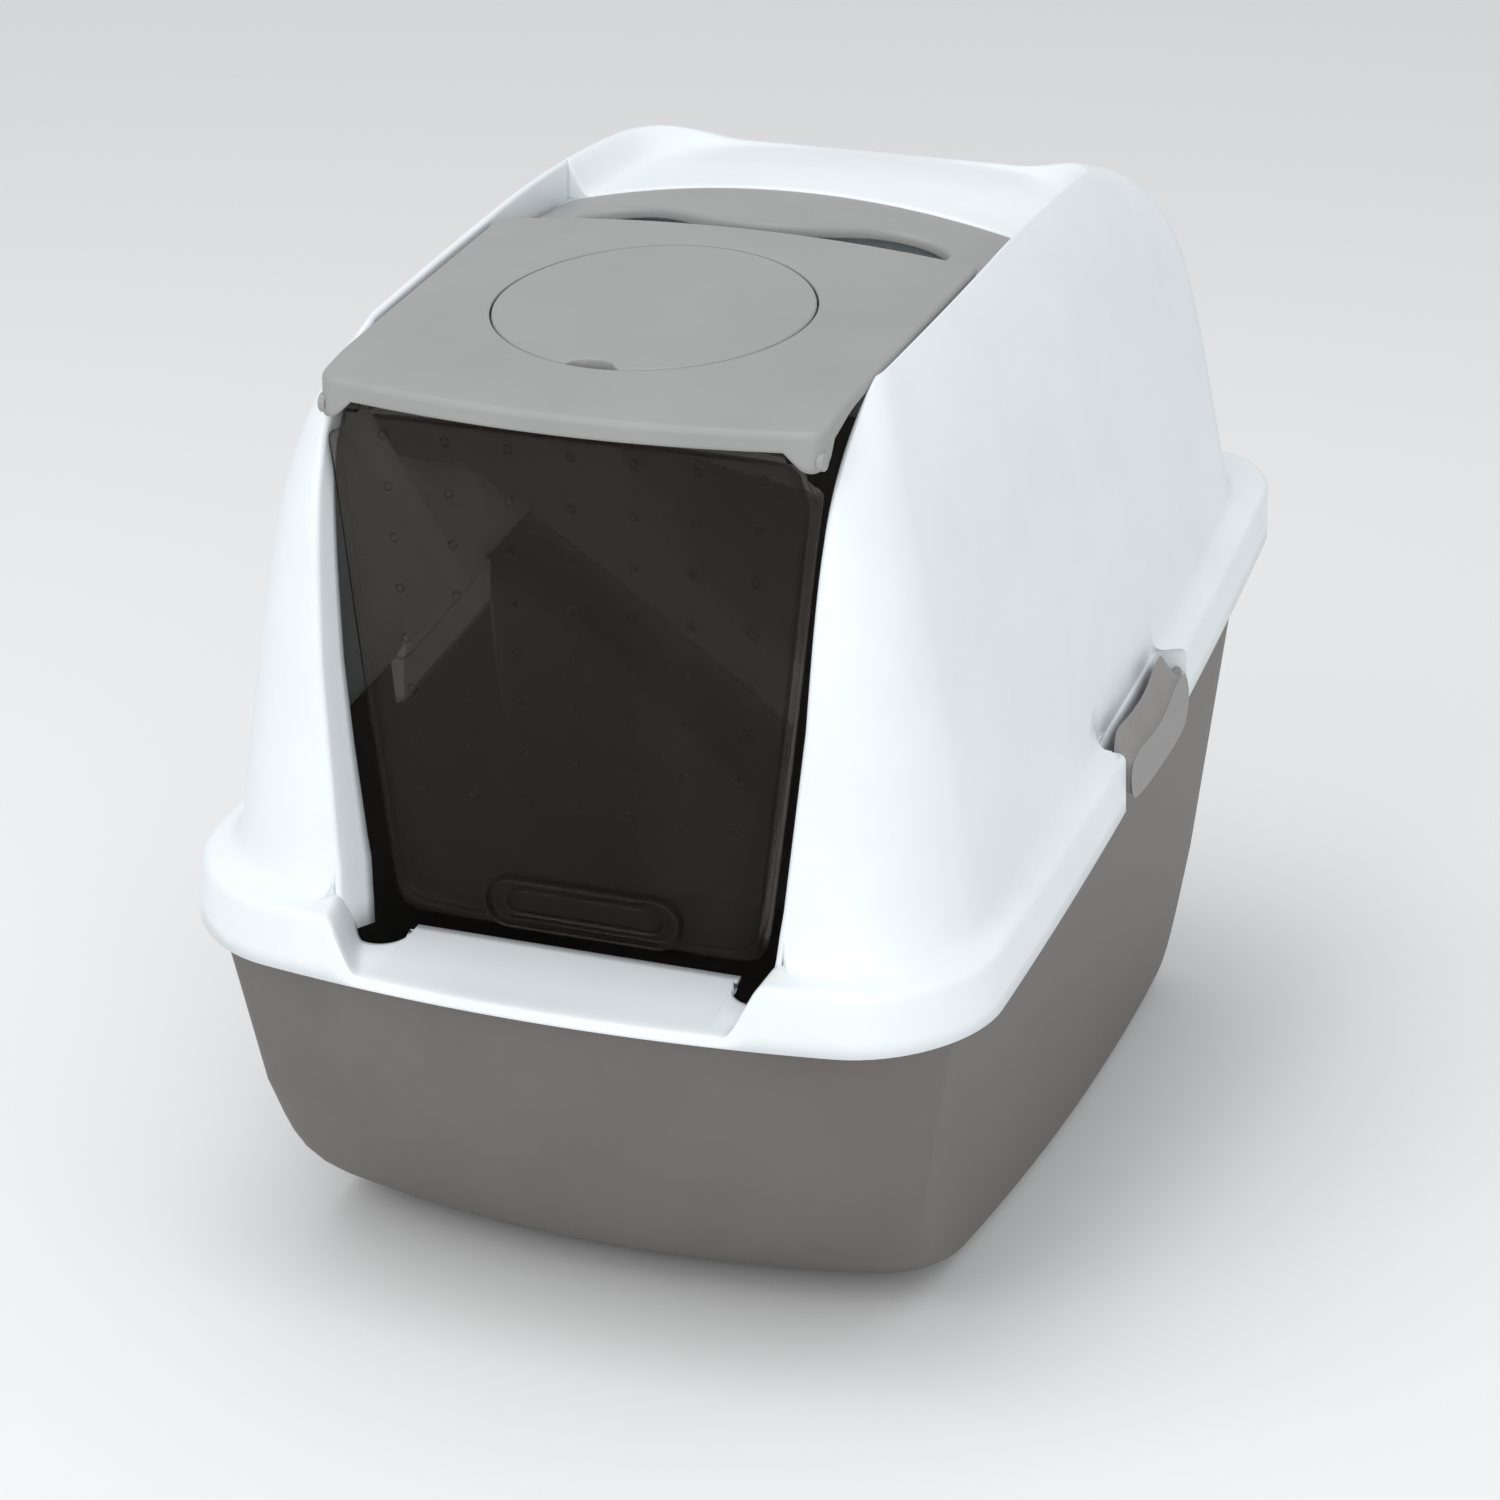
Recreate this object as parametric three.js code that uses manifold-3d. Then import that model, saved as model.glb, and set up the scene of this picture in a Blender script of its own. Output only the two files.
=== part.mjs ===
// Hooded cat litter box: pan, hood, hinged top lid with swing door and filter, grip and side latches.
// Millimetres, +Z up. X is the width, the entrance faces -Y, and the box stands on z = 0.
import * as THREE from 'three';
import { mergeVertices } from 'three/addons/utils/BufferGeometryUtils.js';
import Module from 'manifold-3d';

const wasm = await Module();
wasm.setup();

// ---- driving dimensions ----
const WIDTH = 390;
const LENGTH = 570;
const HEIGHT = 465;
const GAP = 0.4;
const WALL = 3;

// Rim line: the lower edge of the hood climbs from front to rear, with a little sag in the middle.
const RIM_FRONT_Z = 161;
const RIM_RISE = 98.2;
const RIM_SAG = 9.16;
const SKIRT_HEIGHT = 31;
const SKIRT_HALF = WIDTH / 2 - 1.4;

// Hood wall: from the flange up to the crest on either side of the roof.
const HOOD_BASE_HALF = 179;
const HOOD_CREST_HALF = 122.5;
const HOOD_REAR_Y = 268;
const CREST_REAR_RUN = 103;
const PILLAR_FRONT_Y = -263;
const CREST_PEAK_Y = 90;

// Top lid: edge line z = LID_REAR_Z + LID_SLOPE (y - LID_REAR_Y), with a crown across it.
const LID_REAR_Y = -46;
const LID_FRONT_Y = -249;
const LID_REAR_Z = 455;
const LID_SLOPE = 0.118;
const LID_HALF_REAR = 118;
const LID_HALF_FRONT = 115.6;
const LID_FRONT_BOW = 8;
const LID_CROWN = 7;
const LID_THICK = 3;
const LID_TILT = Math.atan(LID_SLOPE);
const LID_AXIS = [-50, 450.5];
const PEG_R = 2.2;

// Filter under the lid.
const COVER_R = 71.8;
const COVER_Y = -146;
const TRAY_R = 70;
const TRAY_DEPTH = 14;
const SLOT_PITCH = 21;
const SLOT_HALF = 4;
const FILTER_R = 66.5;
const FILTER_THICK = 9;

// Swing door.
const DOOR_AXIS = [-243.5, 416];
const DOOR_BOTTOM_Z = 180;
const DOOR_LEAN = 0.056;
const DOOR_THICK = 2.4;

// Side latches, set along the slope of the flange.
const LATCH_Y = 28;
const LATCH_Z = 216;
const LATCH_TILT = Math.atan(0.176);
const LATCH_OUT = WIDTH / 2;
const LATCH_THICK = 10;

// ---- profile formulas ----
const clamp01 = (v) => Math.min(1, Math.max(0, v));
const smooth = (a, b, v) => {
  const t = clamp01((v - a) / (b - a));
  return t * t * (3 - 2 * t);
};
const rimZ = (y) => {
  const t = (y + LENGTH / 2) / LENGTH;
  return RIM_FRONT_Z + RIM_RISE * t - RIM_SAG * 4 * t * (1 - t);
};
const lidEdgeZ = (y) => {
  const droop = Math.max(0, -215 - y) / 40;
  return LID_REAR_Z + LID_SLOPE * (y - LID_REAR_Y) - 5 * droop * droop;
};
const crestZ = (y) => {
  if (y < LID_REAR_Y) return LID_REAR_Z + 1.2 + LID_SLOPE * (y - LID_REAR_Y);
  const run = (CREST_PEAK_Y - y) / (CREST_PEAK_Y - LID_REAR_Y);
  return HEIGHT - (HEIGHT - LID_REAR_Z - 1.2) * run * run;
};

// ---- mesh helpers ----
function solidFromArrays(points, triangles) {
  const geometry = new THREE.BufferGeometry();
  geometry.setAttribute('position', new THREE.BufferAttribute(new Float32Array(points.flat()), 3));
  geometry.setIndex(triangles.flat());
  return geometry;
}

// Skin over a stack of rings with equal point counts. Either both ends get a cap, or the stack
// closes on itself like a picture frame.
function loft(rings, closesOnItself = false) {
  const count = rings[0].length;
  const points = rings.flat();
  const triangles = [];
  const bands = closesOnItself ? rings.length : rings.length - 1;
  for (let i = 0; i < bands; i++) {
    const low = i * count;
    const high = ((i + 1) % rings.length) * count;
    for (let j = 0; j < count; j++) {
      const k = (j + 1) % count;
      triangles.push([low + j, low + k, high + k], [low + j, high + k, high + j]);
    }
  }
  if (!closesOnItself) {
    const middle = (ring) => [0, 1, 2].map((a) => ring.reduce((s, p) => s + p[a], 0) / count);
    const bottom = points.push(middle(rings[0])) - 1;
    const top = points.push(middle(rings[rings.length - 1])) - 1;
    const last = (rings.length - 1) * count;
    for (let j = 0; j < count; j++) {
      const k = (j + 1) % count;
      triangles.push([bottom, k, j], [top, last + j, last + k]);
    }
  }
  return solidFromArrays(points, triangles);
}

// Solid between two height functions over a grid of x and y stations.
function slab(xs, ys, lowZ, highZ) {
  const points = [];
  for (const height of [lowZ, highZ]) {
    for (const y of ys) for (const x of xs) points.push([x, y, height(x, y)]);
  }
  const nx = xs.length;
  const layer = nx * ys.length;
  const triangles = [];
  for (let j = 0; j < ys.length - 1; j++) {
    for (let i = 0; i < nx - 1; i++) {
      const a = j * nx + i;
      const [b, c, d] = [a + 1, a + 1 + nx, a + nx];
      triangles.push([a, c, b], [a, d, c]);
      triangles.push([layer + a, layer + b, layer + c], [layer + a, layer + c, layer + d]);
    }
  }
  const wallStrip = (p, q) => triangles.push([p, q, layer + q], [p, layer + q, layer + p]);
  for (let i = 0; i < nx - 1; i++) {
    wallStrip(i, i + 1);
    wallStrip(layer - nx + i + 1, layer - nx + i);
  }
  for (let j = 0; j < ys.length - 1; j++) {
    wallStrip((j + 1) * nx, j * nx);
    wallStrip(j * nx + nx - 1, (j + 1) * nx + nx - 1);
  }
  return solidFromArrays(points, triangles);
}

function toManifold(geometry) {
  const bare = geometry.index ? geometry.clone() : geometry;
  for (const name of Object.keys(bare.attributes)) {
    if (name !== 'position') bare.deleteAttribute(name);
  }
  const merged = mergeVertices(bare, 1e-4);
  return new wasm.Manifold(new wasm.Mesh({
    numProp: 3,
    vertProperties: new Float32Array(merged.attributes.position.array),
    triVerts: new Uint32Array(merged.index.array),
  }));
}

function toGeometry(manifold) {
  const mesh = manifold.getMesh();
  const geometry = new THREE.BufferGeometry();
  geometry.setAttribute('position', new THREE.BufferAttribute(new Float32Array(mesh.vertProperties), 3));
  geometry.setIndex(Array.from(mesh.triVerts));
  return geometry;
}

const box = (x0, x1, y0, y1, z0, z1) => {
  const geometry = new THREE.BoxGeometry(x1 - x0, y1 - y0, z1 - z0);
  return geometry.translate((x0 + x1) / 2, (y0 + y1) / 2, (z0 + z1) / 2);
};
const rodAlongX = (radius, x0, x1, y, z, sides = 16) => {
  const geometry = new THREE.CylinderGeometry(radius, radius, x1 - x0, sides);
  return geometry.rotateZ(Math.PI / 2).translate((x0 + x1) / 2, y, z);
};
const discTilted = (radius, low, high, y, z, sides = 48) => {
  const geometry = new THREE.CylinderGeometry(radius, radius, high - low, sides);
  geometry.rotateX(Math.PI / 2).translate(0, 0, (low + high) / 2);
  return geometry.rotateX(LID_TILT).translate(0, y, z);
};

// An x interval given for the right side, as it lies on the wanted side.
const spanOnSide = (side, a, b) => (side > 0 ? [a, b] : [-b, -a]);

// Prism of a closed outline given in (y, z), between two x values.
function prismAlongX(outline, x0, x1) {
  const shape = new THREE.Shape(outline.map(([y, z]) => new THREE.Vector2(y, z)));
  const geometry = new THREE.ExtrudeGeometry(shape, { depth: x1 - x0, bevelEnabled: false });
  const turn = new THREE.Matrix4().set(0, 0, 1, x0, 1, 0, 0, 0, 0, 1, 0, 0, 0, 0, 0, 1);
  return geometry.applyMatrix4(turn);
}

// Prism of a closed outline given in (x, z), between two y values.
function prismAlongY(outline, y0, y1) {
  const shape = new THREE.Shape(outline.map(([x, z]) => new THREE.Vector2(x, z)));
  const geometry = new THREE.ExtrudeGeometry(shape, { depth: y1 - y0, bevelEnabled: false });
  return geometry.rotateX(Math.PI / 2).translate(0, y1, 0);
}

// ---- plan outline: a bowed rectangle with round corners, anticlockwise from the front middle ----
function plan({ half, front, rear, frontR, rearR, frontBow = 0, rearBow = 0, sideBow = 0 }) {
  const right = [];
  const arc = (cx, cy, r, from, steps) => {
    for (let i = 0; i <= steps; i++) {
      const a = from + (Math.PI / 2) * (i / steps);
      right.push([cx + r * Math.cos(a), cy + r * Math.sin(a)]);
    }
  };
  const frontSteps = 6;
  for (let i = 0; i < frontSteps; i++) right.push([((half - frontR) * i) / frontSteps, front]);
  arc(half - frontR, front + frontR, frontR, -Math.PI / 2, 5);
  const sideSteps = 7;
  const [y0, y1] = [front + frontR, rear - rearR];
  for (let i = 1; i < sideSteps; i++) right.push([half, y0 + ((y1 - y0) * i) / sideSteps]);
  arc(half - rearR, rear - rearR, rearR, 0, 5);
  right.push([(half - rearR) / 2, rear]);
  right.push([0, rear]);
  const bowed = right.map(([x, y]) => {
    const t = (2 * y - front - rear) / (rear - front);
    const across = (x / half) ** 2;
    const bow = frontBow * ((1 - t) / 2) ** 2 - rearBow * ((1 + t) / 2) ** 2;
    return [x * (1 - (sideBow / half) * t * t), y + across * bow];
  });
  const left = bowed.slice(1, -1).reverse().map(([x, y]) => [-x, y]);
  return [...bowed, ...left];
}
const atHeight = (outline, height) => outline.map(([x, y]) => [x, y, height(x, y)]);

// 1 along the sides and rear, falling to 0 across the low sill of the entrance.
const SILL_HALF = 86;
const SILL_RAMP = 18;
const sillRise = (x, y, margin = 0) => {
  if (y > -180) return 1;
  return smooth(SILL_HALF + margin, SILL_HALF + margin + SILL_RAMP, Math.abs(x));
};

// ---- litter pan ----
const PAN_RIM_ABOVE = 26.6;
const PAN_SILL_ABOVE = 0.6;
const PAN_LIP = 2.6;
const PAN_LIP_DEPTH = 3.2;
const PAN_TOP = {
  half: 185,
  front: -275,
  rear: 278,
  frontR: 22,
  rearR: 34,
  frontBow: 33,
  rearBow: 4,
  sideBow: 5,
};

// Stations up the pan wall: height, half width, front and rear face, corner radii.
const PAN_STATIONS = [
  [0, 151, -150, 238, 40, 24],
  [4, 156, -174, 246, 36, 26],
  [16, 160, -205, 254, 32, 28],
  [38, 163.5, -231, 260, 26, 30],
  [80, 169, -250, 266, 22, 32],
];

const PAN_BOWS = { frontBow: 27, rearBow: 4, sideBow: 8 };
const PAN_SILL_MARGIN = 14;

const shrunk = (base, by) => ({
  ...base,
  half: base.half - by,
  front: base.front + by,
  rear: base.rear - by,
  frontR: base.frontR - by,
  rearR: base.rearR - by,
});

// Wall rings of the pan, moved in by the inset. The floor thickness lifts the low rings.
function panRings(inset, floorZ) {
  return PAN_STATIONS.map(([z, half, front, rear, frontR, rearR]) => {
    const station = { half, front, rear, frontR, rearR, ...PAN_BOWS };
    return atHeight(plan(shrunk(station, inset)), () => Math.max(z, floorZ + z * 0.9));
  });
}

function makePan() {
  const climb = PAN_RIM_ABOVE - PAN_SILL_ABOVE;
  const topZ = (x, y) => rimZ(y) + PAN_SILL_ABOVE + climb * sillRise(x, y, PAN_SILL_MARGIN);
  const outer = loft([...panRings(0, 0), atHeight(plan(PAN_TOP), topZ)]);
  const above = (x, y) => topZ(x, y) + 6;
  const inner = loft([...panRings(WALL, WALL), atHeight(plan(shrunk(PAN_TOP, WALL)), above)]);
  const lipInner = plan(shrunk(PAN_TOP, 0.6));
  const lipOuter = plan(shrunk(PAN_TOP, -PAN_LIP));
  const lip = loft([
    atHeight(lipInner, (x, y) => topZ(x, y) - PAN_LIP_DEPTH),
    atHeight(lipOuter, (x, y) => topZ(x, y) - PAN_LIP_DEPTH + 0.6),
    atHeight(lipOuter, topZ),
    atHeight(lipInner, topZ),
  ], true);
  let pan = toManifold(outer).subtract(toManifold(inner)).add(toManifold(lip));
  // The rim drops beside each latch, which leaves room for the pocket and lets the catch pass.
  const { s0, s1 } = POCKET;
  for (const side of [-1, 1]) {
    pan = pan.subtract(onSide(box(168, 196, s0 - RELIEF_MARGIN, s1 + RELIEF_MARGIN, RELIEF_N, 60), side));
  }
  return toGeometry(pan);
}

// ---- hood shell ----
const HOOD_LEVELS = [0, 0.1, 0.3, 0.52, 0.68, 0.8, 0.89, 0.955, 1];
const SKIRT = {
  half: SKIRT_HALF,
  front: -LENGTH / 2,
  rear: LENGTH / 2,
  frontR: 56,
  rearR: 36,
  frontBow: 21,
  rearBow: 3.5,
  sideBow: 4.2,
};
const HINGE_BEAM_Z = 440;
const WELL_FLOOR_Z = 424;
const ROOF_HALF = 119.5;
const KEYHOLE = { x: 91, z: 184, r: 13, bottomY: -270, topY: -210 };
const PEG_HOLE_X = [117, 123.4];

// How far the wall has come in at a fraction h of its height: a straight lean and a late shoulder.
const sideLean = (h) => 0.63 * h + 0.37 * h ** 5.5;
const rearLean = (h) => 0.15 * h + 0.85 * h ** 14;

function hoodRing(h, inset, lift) {
  const outline = plan({
    half: HOOD_BASE_HALF - (HOOD_BASE_HALF - HOOD_CREST_HALF) * sideLean(h) - inset,
    front: PILLAR_FRONT_Y + 10 * h + 34 * h ** 10 + inset,
    rear: HOOD_REAR_Y - CREST_REAR_RUN * rearLean(h) - inset,
    frontR: 54 - 14 * h - inset,
    rearR: 50 - inset,
    frontBow: 13 * (1 - h),
    rearBow: 3,
    sideBow: 4,
  });
  const foot = SKIRT_HEIGHT - 1;
  return atHeight(outline, (x, y) => rimZ(y) + foot + h * (crestZ(y) - lift - rimZ(y) - foot));
}

// Roof behind the lid: crowned between the crests, with a finger well in front of it.
const roofZ = (x, y) => {
  const side = (x / 105) ** 2;
  const drop = 12 - 7 * smooth(50, 165, y);
  return crestZ(y) - 3.4 - 4 * smooth(80, 170, y) - drop * side;
};
const LIP_Y = 43.4;
const ROOF_STATIONS = [-46.1, -41, -37, LIP_Y - 1, LIP_Y, 46, 70, 100, 135, 165, 190];
const topOfRoof = (x, y) => {
  if (y <= -41) return HINGE_BEAM_Z;
  if (y < LIP_Y) return WELL_FLOOR_Z;
  if (y < 46) return roofZ(x, 46) - 1.5;
  return roofZ(x, y);
};
const UNDER_STATIONS = [-47, 44.5, 47, 70, 100, 135, 165, 190];
const underOfRoof = (x, y) => (y < 46 ? WELL_FLOOR_Z - WALL : roofZ(x, y) - WALL);

// Skirt and flange as one frame. Between the pillars it sinks to a low sill.
function skirtFrame() {
  const outer = plan(SKIRT);
  const topOuter = plan(shrunk(SKIRT, 1.2));
  const flangeEdge = plan(shrunk(SKIRT, 4));
  const flangeInner = plan({ ...shrunk(SKIRT, 24), front: -237, rear: 266, frontBow: 8 });
  const innerTop = plan({ ...shrunk(SKIRT, 24), front: -234, rear: 265, frontBow: 8 });
  const skirtInner = plan(shrunk(SKIRT, WALL));
  const underFlange = plan(shrunk(SKIRT, WALL + 0.6));
  // A ring stands sillZ over the rim line at the sill, and climb more everywhere else.
  const above = (sillZ, climb) => (x, y) => rimZ(y) + sillZ + climb * sillRise(x, y);
  return loft([
    atHeight(skirtInner, above(0, 0)),
    atHeight(outer, above(0, 0)),
    atHeight(topOuter, above(3.4, SKIRT_HEIGHT - 6)),
    atHeight(flangeEdge, above(4.2, SKIRT_HEIGHT - 4)),
    atHeight(flangeInner, above(7, SKIRT_HEIGHT - 4)),
    atHeight(innerTop, above(4, SKIRT_HEIGHT - 6.5)),
    atHeight(underFlange, above(1.2, SKIRT_HEIGHT - 4.2)),
  ], true);
}

// Entrance and lid opening seen from the front, half of it, from the sill up.
const OPENING_HALF = [
  [93, 150],
  [93, 178],
  [101, 186],
  [105, 215],
  [109, 260],
  [112.5, 300],
  [116.2, 380],
  [117.6, 425],
  [118.6, 440],
  [120, 456],
  [120, 500],
];

function makeHood() {
  const outer = toManifold(loft(HOOD_LEVELS.map((h) => hoodRing(h, 0, 0))));
  const below = hoodRing(0, WALL, 0).map(([x, y, z]) => [x, y, z - 12]);
  const inner = toManifold(loft([below, ...HOOD_LEVELS.map((h) => hoodRing(h, WALL, WALL * h))]));
  const across = (half) => [-1, -0.88, -0.7, -0.5, -0.25, 0, 0.25, 0.5, 0.7, 0.88, 1].map((f) => f * half);
  const sky = () => HEIGHT + 30;
  const overRoof = toManifold(slab(across(ROOF_HALF), ROOF_STATIONS, topOfRoof, sky));
  const overUnder = toManifold(slab(across(ROOF_HALF + WALL), UNDER_STATIONS, underOfRoof, sky));
  const outline = [...OPENING_HALF, ...[...OPENING_HALF].reverse().map(([x, z]) => [-x, z])];
  const opening = toManifold(prismAlongY(outline, -400, LID_REAR_Y));
  const shell = outer.subtract(inner.subtract(overUnder)).subtract(overRoof);
  let hood = shell.subtract(opening).add(toManifold(skirtFrame()));
  for (const side of [-1, 1]) {
    const { x, z, r, bottomY, topY } = KEYHOLE;
    const keyhole = new THREE.CylinderGeometry(r, r, topY - bottomY, 20).rotateX(Math.PI / 2);
    const pegHole = rodAlongX(PEG_R + GAP, ...spanOnSide(side, ...PEG_HOLE_X), ...LID_AXIS);
    hood = hood.subtract(toManifold(keyhole.translate(side * x, (bottomY + topY) / 2, z)));
    hood = fitLatchPocket(hood.subtract(toManifold(pegHole)), side);
  }
  return toGeometry(hood);
}

// ---- side latches ----
// Outline of a latch in its own frame: s runs along the flange, n up from it.
const LATCH_OUTLINE = [
  [-44, -9],
  [-50, -3],
  [-52.5, 5],
  [-49.5, 13],
  [-42.5, 17.5],
  [-30, 15],
  [-14, 11.4],
  [2, 10.2],
  [16, 13],
  [27.4, 17],
  [38, 14.5],
  [47, 4],
  [49.8, -6],
  [46, -14],
  [38, -17.5],
];
const LATCH_PIVOT_N = 7;
const LATCH_AXIS_X = 188.5;
const POCKET = { x0: 180, x1: LATCH_OUT + 4, s0: -54.5, s1: 52, n0: -30, n1: 30 };
const POCKET_CHEEK = 4;
const RELIEF_MARGIN = 8;
const RELIEF_N = -8.6;

const placeAlongFlange = (geometry) => geometry.rotateX(LATCH_TILT).translate(0, LATCH_Y, LATCH_Z);
const mirrored = (geometry, side) => {
  if (side > 0) return geometry;
  const flipped = geometry.clone().scale(-1, 1, 1);
  const source = flipped.index ? flipped : mergeVertices(flipped);
  const order = source.index.array;
  for (let i = 0; i < order.length; i += 3) [order[i], order[i + 1]] = [order[i + 1], order[i]];
  return source;
};
const mergedCopy = (geometry) => {
  for (const name of Object.keys(geometry.attributes)) {
    if (name !== 'position') geometry.deleteAttribute(name);
  }
  return mergeVertices(geometry, 1e-4);
};
const onSide = (geometry, side) => toManifold(mirrored(mergedCopy(placeAlongFlange(geometry)), side));
const rodAlongFlange = (radius, s0, s1, x, n) => {
  const geometry = new THREE.CylinderGeometry(radius, radius, s1 - s0, 16);
  return geometry.translate(x, (s0 + s1) / 2, n);
};

// Cuts the pocket through flange and skirt, then lines it with a back wall and two cheeks.
function fitLatchPocket(hood, side) {
  const { x0, x1, s0, s1, n0, n1 } = POCKET;
  const [outer0, outer1] = [s0 - POCKET_CHEEK, s1 + POCKET_CHEEK];
  const lining = onSide(box(x0 - WALL, SKIRT_HALF - 0.8, outer0, outer1, -4, 16.6), side);
  const hollow = onSide(box(x0, x1, s0, s1, n0, n1), side);
  const pegHole = rodAlongFlange(PEG_R + GAP, outer0 + 1, outer1 - 1, LATCH_AXIS_X, LATCH_PIVOT_N);
  return hood.add(lining).subtract(hollow).subtract(onSide(pegHole, side));
}

function makeLatch(side) {
  const inner = LATCH_OUT - LATCH_THICK;
  const plate = onSide(prismAlongX(LATCH_OUTLINE, inner, LATCH_OUT), side);
  const peg = rodAlongFlange(PEG_R, POCKET.s0 - 2, POCKET.s1 + 2, LATCH_AXIS_X, LATCH_PIVOT_N);
  const catchTooth = onSide(box(inner - 1, inner + 1, -30, 30, -14, -10), side);
  const finger = new THREE.CylinderGeometry(60, 60, 30, 64).rotateZ(Math.PI / 2);
  finger.translate(inner - 9, -6, 68.5);
  return toGeometry(plate.add(onSide(peg, side)).add(catchTooth).subtract(onSide(finger, side)));
}

// ---- top lid with its hinge ears, round cover, tray and filter ----
const lidHalf = (y) => {
  const t = (y - LID_FRONT_Y) / (LID_REAR_Y - LID_FRONT_Y);
  return LID_HALF_FRONT + (LID_HALF_REAR - LID_HALF_FRONT) * t;
};
const lidTopZ = (x, y) => {
  const fade = smooth(LID_FRONT_Y - 8, LID_FRONT_Y + 110, y);
  return lidEdgeZ(y) + (0.8 + (LID_CROWN - 0.8) * fade) * (1 - (x / LID_HALF_REAR) ** 2);
};
// Plan of the lid: straight sides, a front edge bowed forward and round front corners.
function lidPlan(inset) {
  const radius = 10;
  const cornerX = LID_HALF_FRONT - radius;
  const corner = [];
  for (let i = 0; i <= 3; i++) {
    const a = -Math.PI / 2 + (Math.PI / 2) * (i / 3);
    const r = radius - inset;
    corner.push([cornerX + r * Math.cos(a), LID_FRONT_Y + radius + r * Math.sin(a)]);
  }
  const front = [0, 1, 2, 3].map((i) => {
    const x = (i / 4) * cornerX;
    return [x, LID_FRONT_Y + inset - LID_FRONT_BOW * (1 - (x / cornerX) ** 2)];
  });
  const side = [-200, -150, -100].map((y) => [lidHalf(y) - inset, y]);
  const rear = [1, 0.75, 0.5, 0.25, 0].map((f) => [f * (LID_HALF_REAR - inset), LID_REAR_Y - inset]);
  const right = [...front, ...corner, ...side, ...rear];
  return [...right, ...right.slice(1, -1).reverse().map(([x, y]) => [-x, y])];
}
function makeLidShell() {
  const lipDepth = (x, y) => lidTopZ(x, y) - 3.4 - 4.2 * smooth(-200, -235, y);
  const outer = lidPlan(0);
  const inner = lidPlan(2.2);
  const rim = toManifold(loft([
    atHeight(inner, lipDepth),
    atHeight(outer, lipDepth),
    atHeight(outer, (x, y) => lidTopZ(x, y) - 0.6),
    atHeight(lidPlan(0.8), (x, y) => lidTopZ(x, y)),
    atHeight(inner, (x, y) => lidTopZ(x, y)),
  ], true));
  const xs = [-121, -102, -84, -66, -44, -22, 0, 22, 44, 66, 84, 102, 121];
  const ys = [-262, -250, -238, -225, -205, -180, -150, -115, -80, -44];
  const plate = toManifold(slab(xs, ys, (x, y) => lidTopZ(x, y) - LID_THICK, lidTopZ));
  const trim = toManifold(loft([
    atHeight(lidPlan(0.4), () => 400),
    atHeight(lidPlan(0.4), () => 480),
  ]));
  return rim.add(plate.intersect(trim));
}
const COVER_Z = lidEdgeZ(COVER_Y) + 2;

function makeLid(shell) {
  let lid = shell.subtract(toManifold(discTilted(COVER_R + 0.5, -20, 20, COVER_Y, COVER_Z)));
  for (const side of [-1, 1]) {
    const ear = toManifold(box(...spanOnSide(side, 111.6, 115), LID_FRONT_Y, LID_FRONT_Y + 11, 409, 427));
    const bore = toManifold(rodAlongX(PEG_R + GAP, ...spanOnSide(side, 110, 116.5), ...DOOR_AXIS));
    const knuckle = toManifold(rodAlongX(2 * PEG_R, ...spanOnSide(side, 110, 117.4), ...LID_AXIS));
    const peg = toManifold(rodAlongX(PEG_R, ...spanOnSide(side, 116, 122.4), ...LID_AXIS));
    lid = lid.add(ear).subtract(bore).add(knuckle).add(peg);
  }
  return toGeometry(lid);
}

function makeCover(shell) {
  const disc = shell.intersect(toManifold(discTilted(COVER_R, -20, 20, COVER_Y, COVER_Z)));
  const notch = new THREE.CylinderGeometry(13, 13, 30, 24).rotateX(Math.PI / 2);
  notch.translate(-12, COVER_Y - COVER_R - 3, COVER_Z - 8);
  return toGeometry(disc.subtract(toManifold(notch)));
}

function makeTray() {
  const ring = toManifold(discTilted(TRAY_R + 4.5, -5.6, -3.9, COVER_Y, COVER_Z));
  const cup = toManifold(discTilted(TRAY_R, -TRAY_DEPTH - 4, -4, COVER_Y, COVER_Z));
  const hollow = toManifold(discTilted(TRAY_R - 2.2, -TRAY_DEPTH - 2, 10, COVER_Y, COVER_Z));
  let tray = ring.add(cup).subtract(hollow);
  for (let i = -2; i <= 2; i++) {
    const x = i * SLOT_PITCH;
    const reach = 0.82 * Math.sqrt((TRAY_R - 8) ** 2 - x ** 2);
    const slot = box(x - SLOT_HALF, x + SLOT_HALF, COVER_Y - reach, COVER_Y + reach, 405, 440);
    tray = tray.subtract(toManifold(slot));
  }
  return toGeometry(tray);
}

function makeFilter() {
  const low = -TRAY_DEPTH - 1.6;
  return discTilted(FILTER_R, low, low + FILTER_THICK, COVER_Y, COVER_Z);
}

// ---- swing door ----
// Half outline of the clear panel in (x, z), from the bottom middle up to the top middle.
const DOOR_HALF = [
  [80, DOOR_BOTTOM_Z],
  [86, 182],
  [89, 187],
  [93.6, 225],
  [101.5, 290],
  [110, 372],
  [113.6, 400],
  [109.6, 406],
  [109.6, 418],
];
const DOOR_FACE_Y = -242 + DOOR_LEAN * 404;
const DOOR_MIDDLE_Z = 299;
const PULL = { halfLength: 35, z: 192.5, r: 12, innerR: 9.5, depth: 5 };

// Stadium-shaped block of the pull, from y = back - depth to y = back.
function pullBlock(radius, back) {
  const shape = new THREE.Shape();
  shape.absarc(-PULL.halfLength, PULL.z, radius, Math.PI / 2, Math.PI * 1.5);
  shape.absarc(PULL.halfLength, PULL.z, radius, -Math.PI / 2, Math.PI / 2);
  const options = { depth: PULL.depth, bevelEnabled: false, curveSegments: 8 };
  return new THREE.ExtrudeGeometry(shape, options).rotateX(Math.PI / 2).translate(0, back, 0);
}

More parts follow.
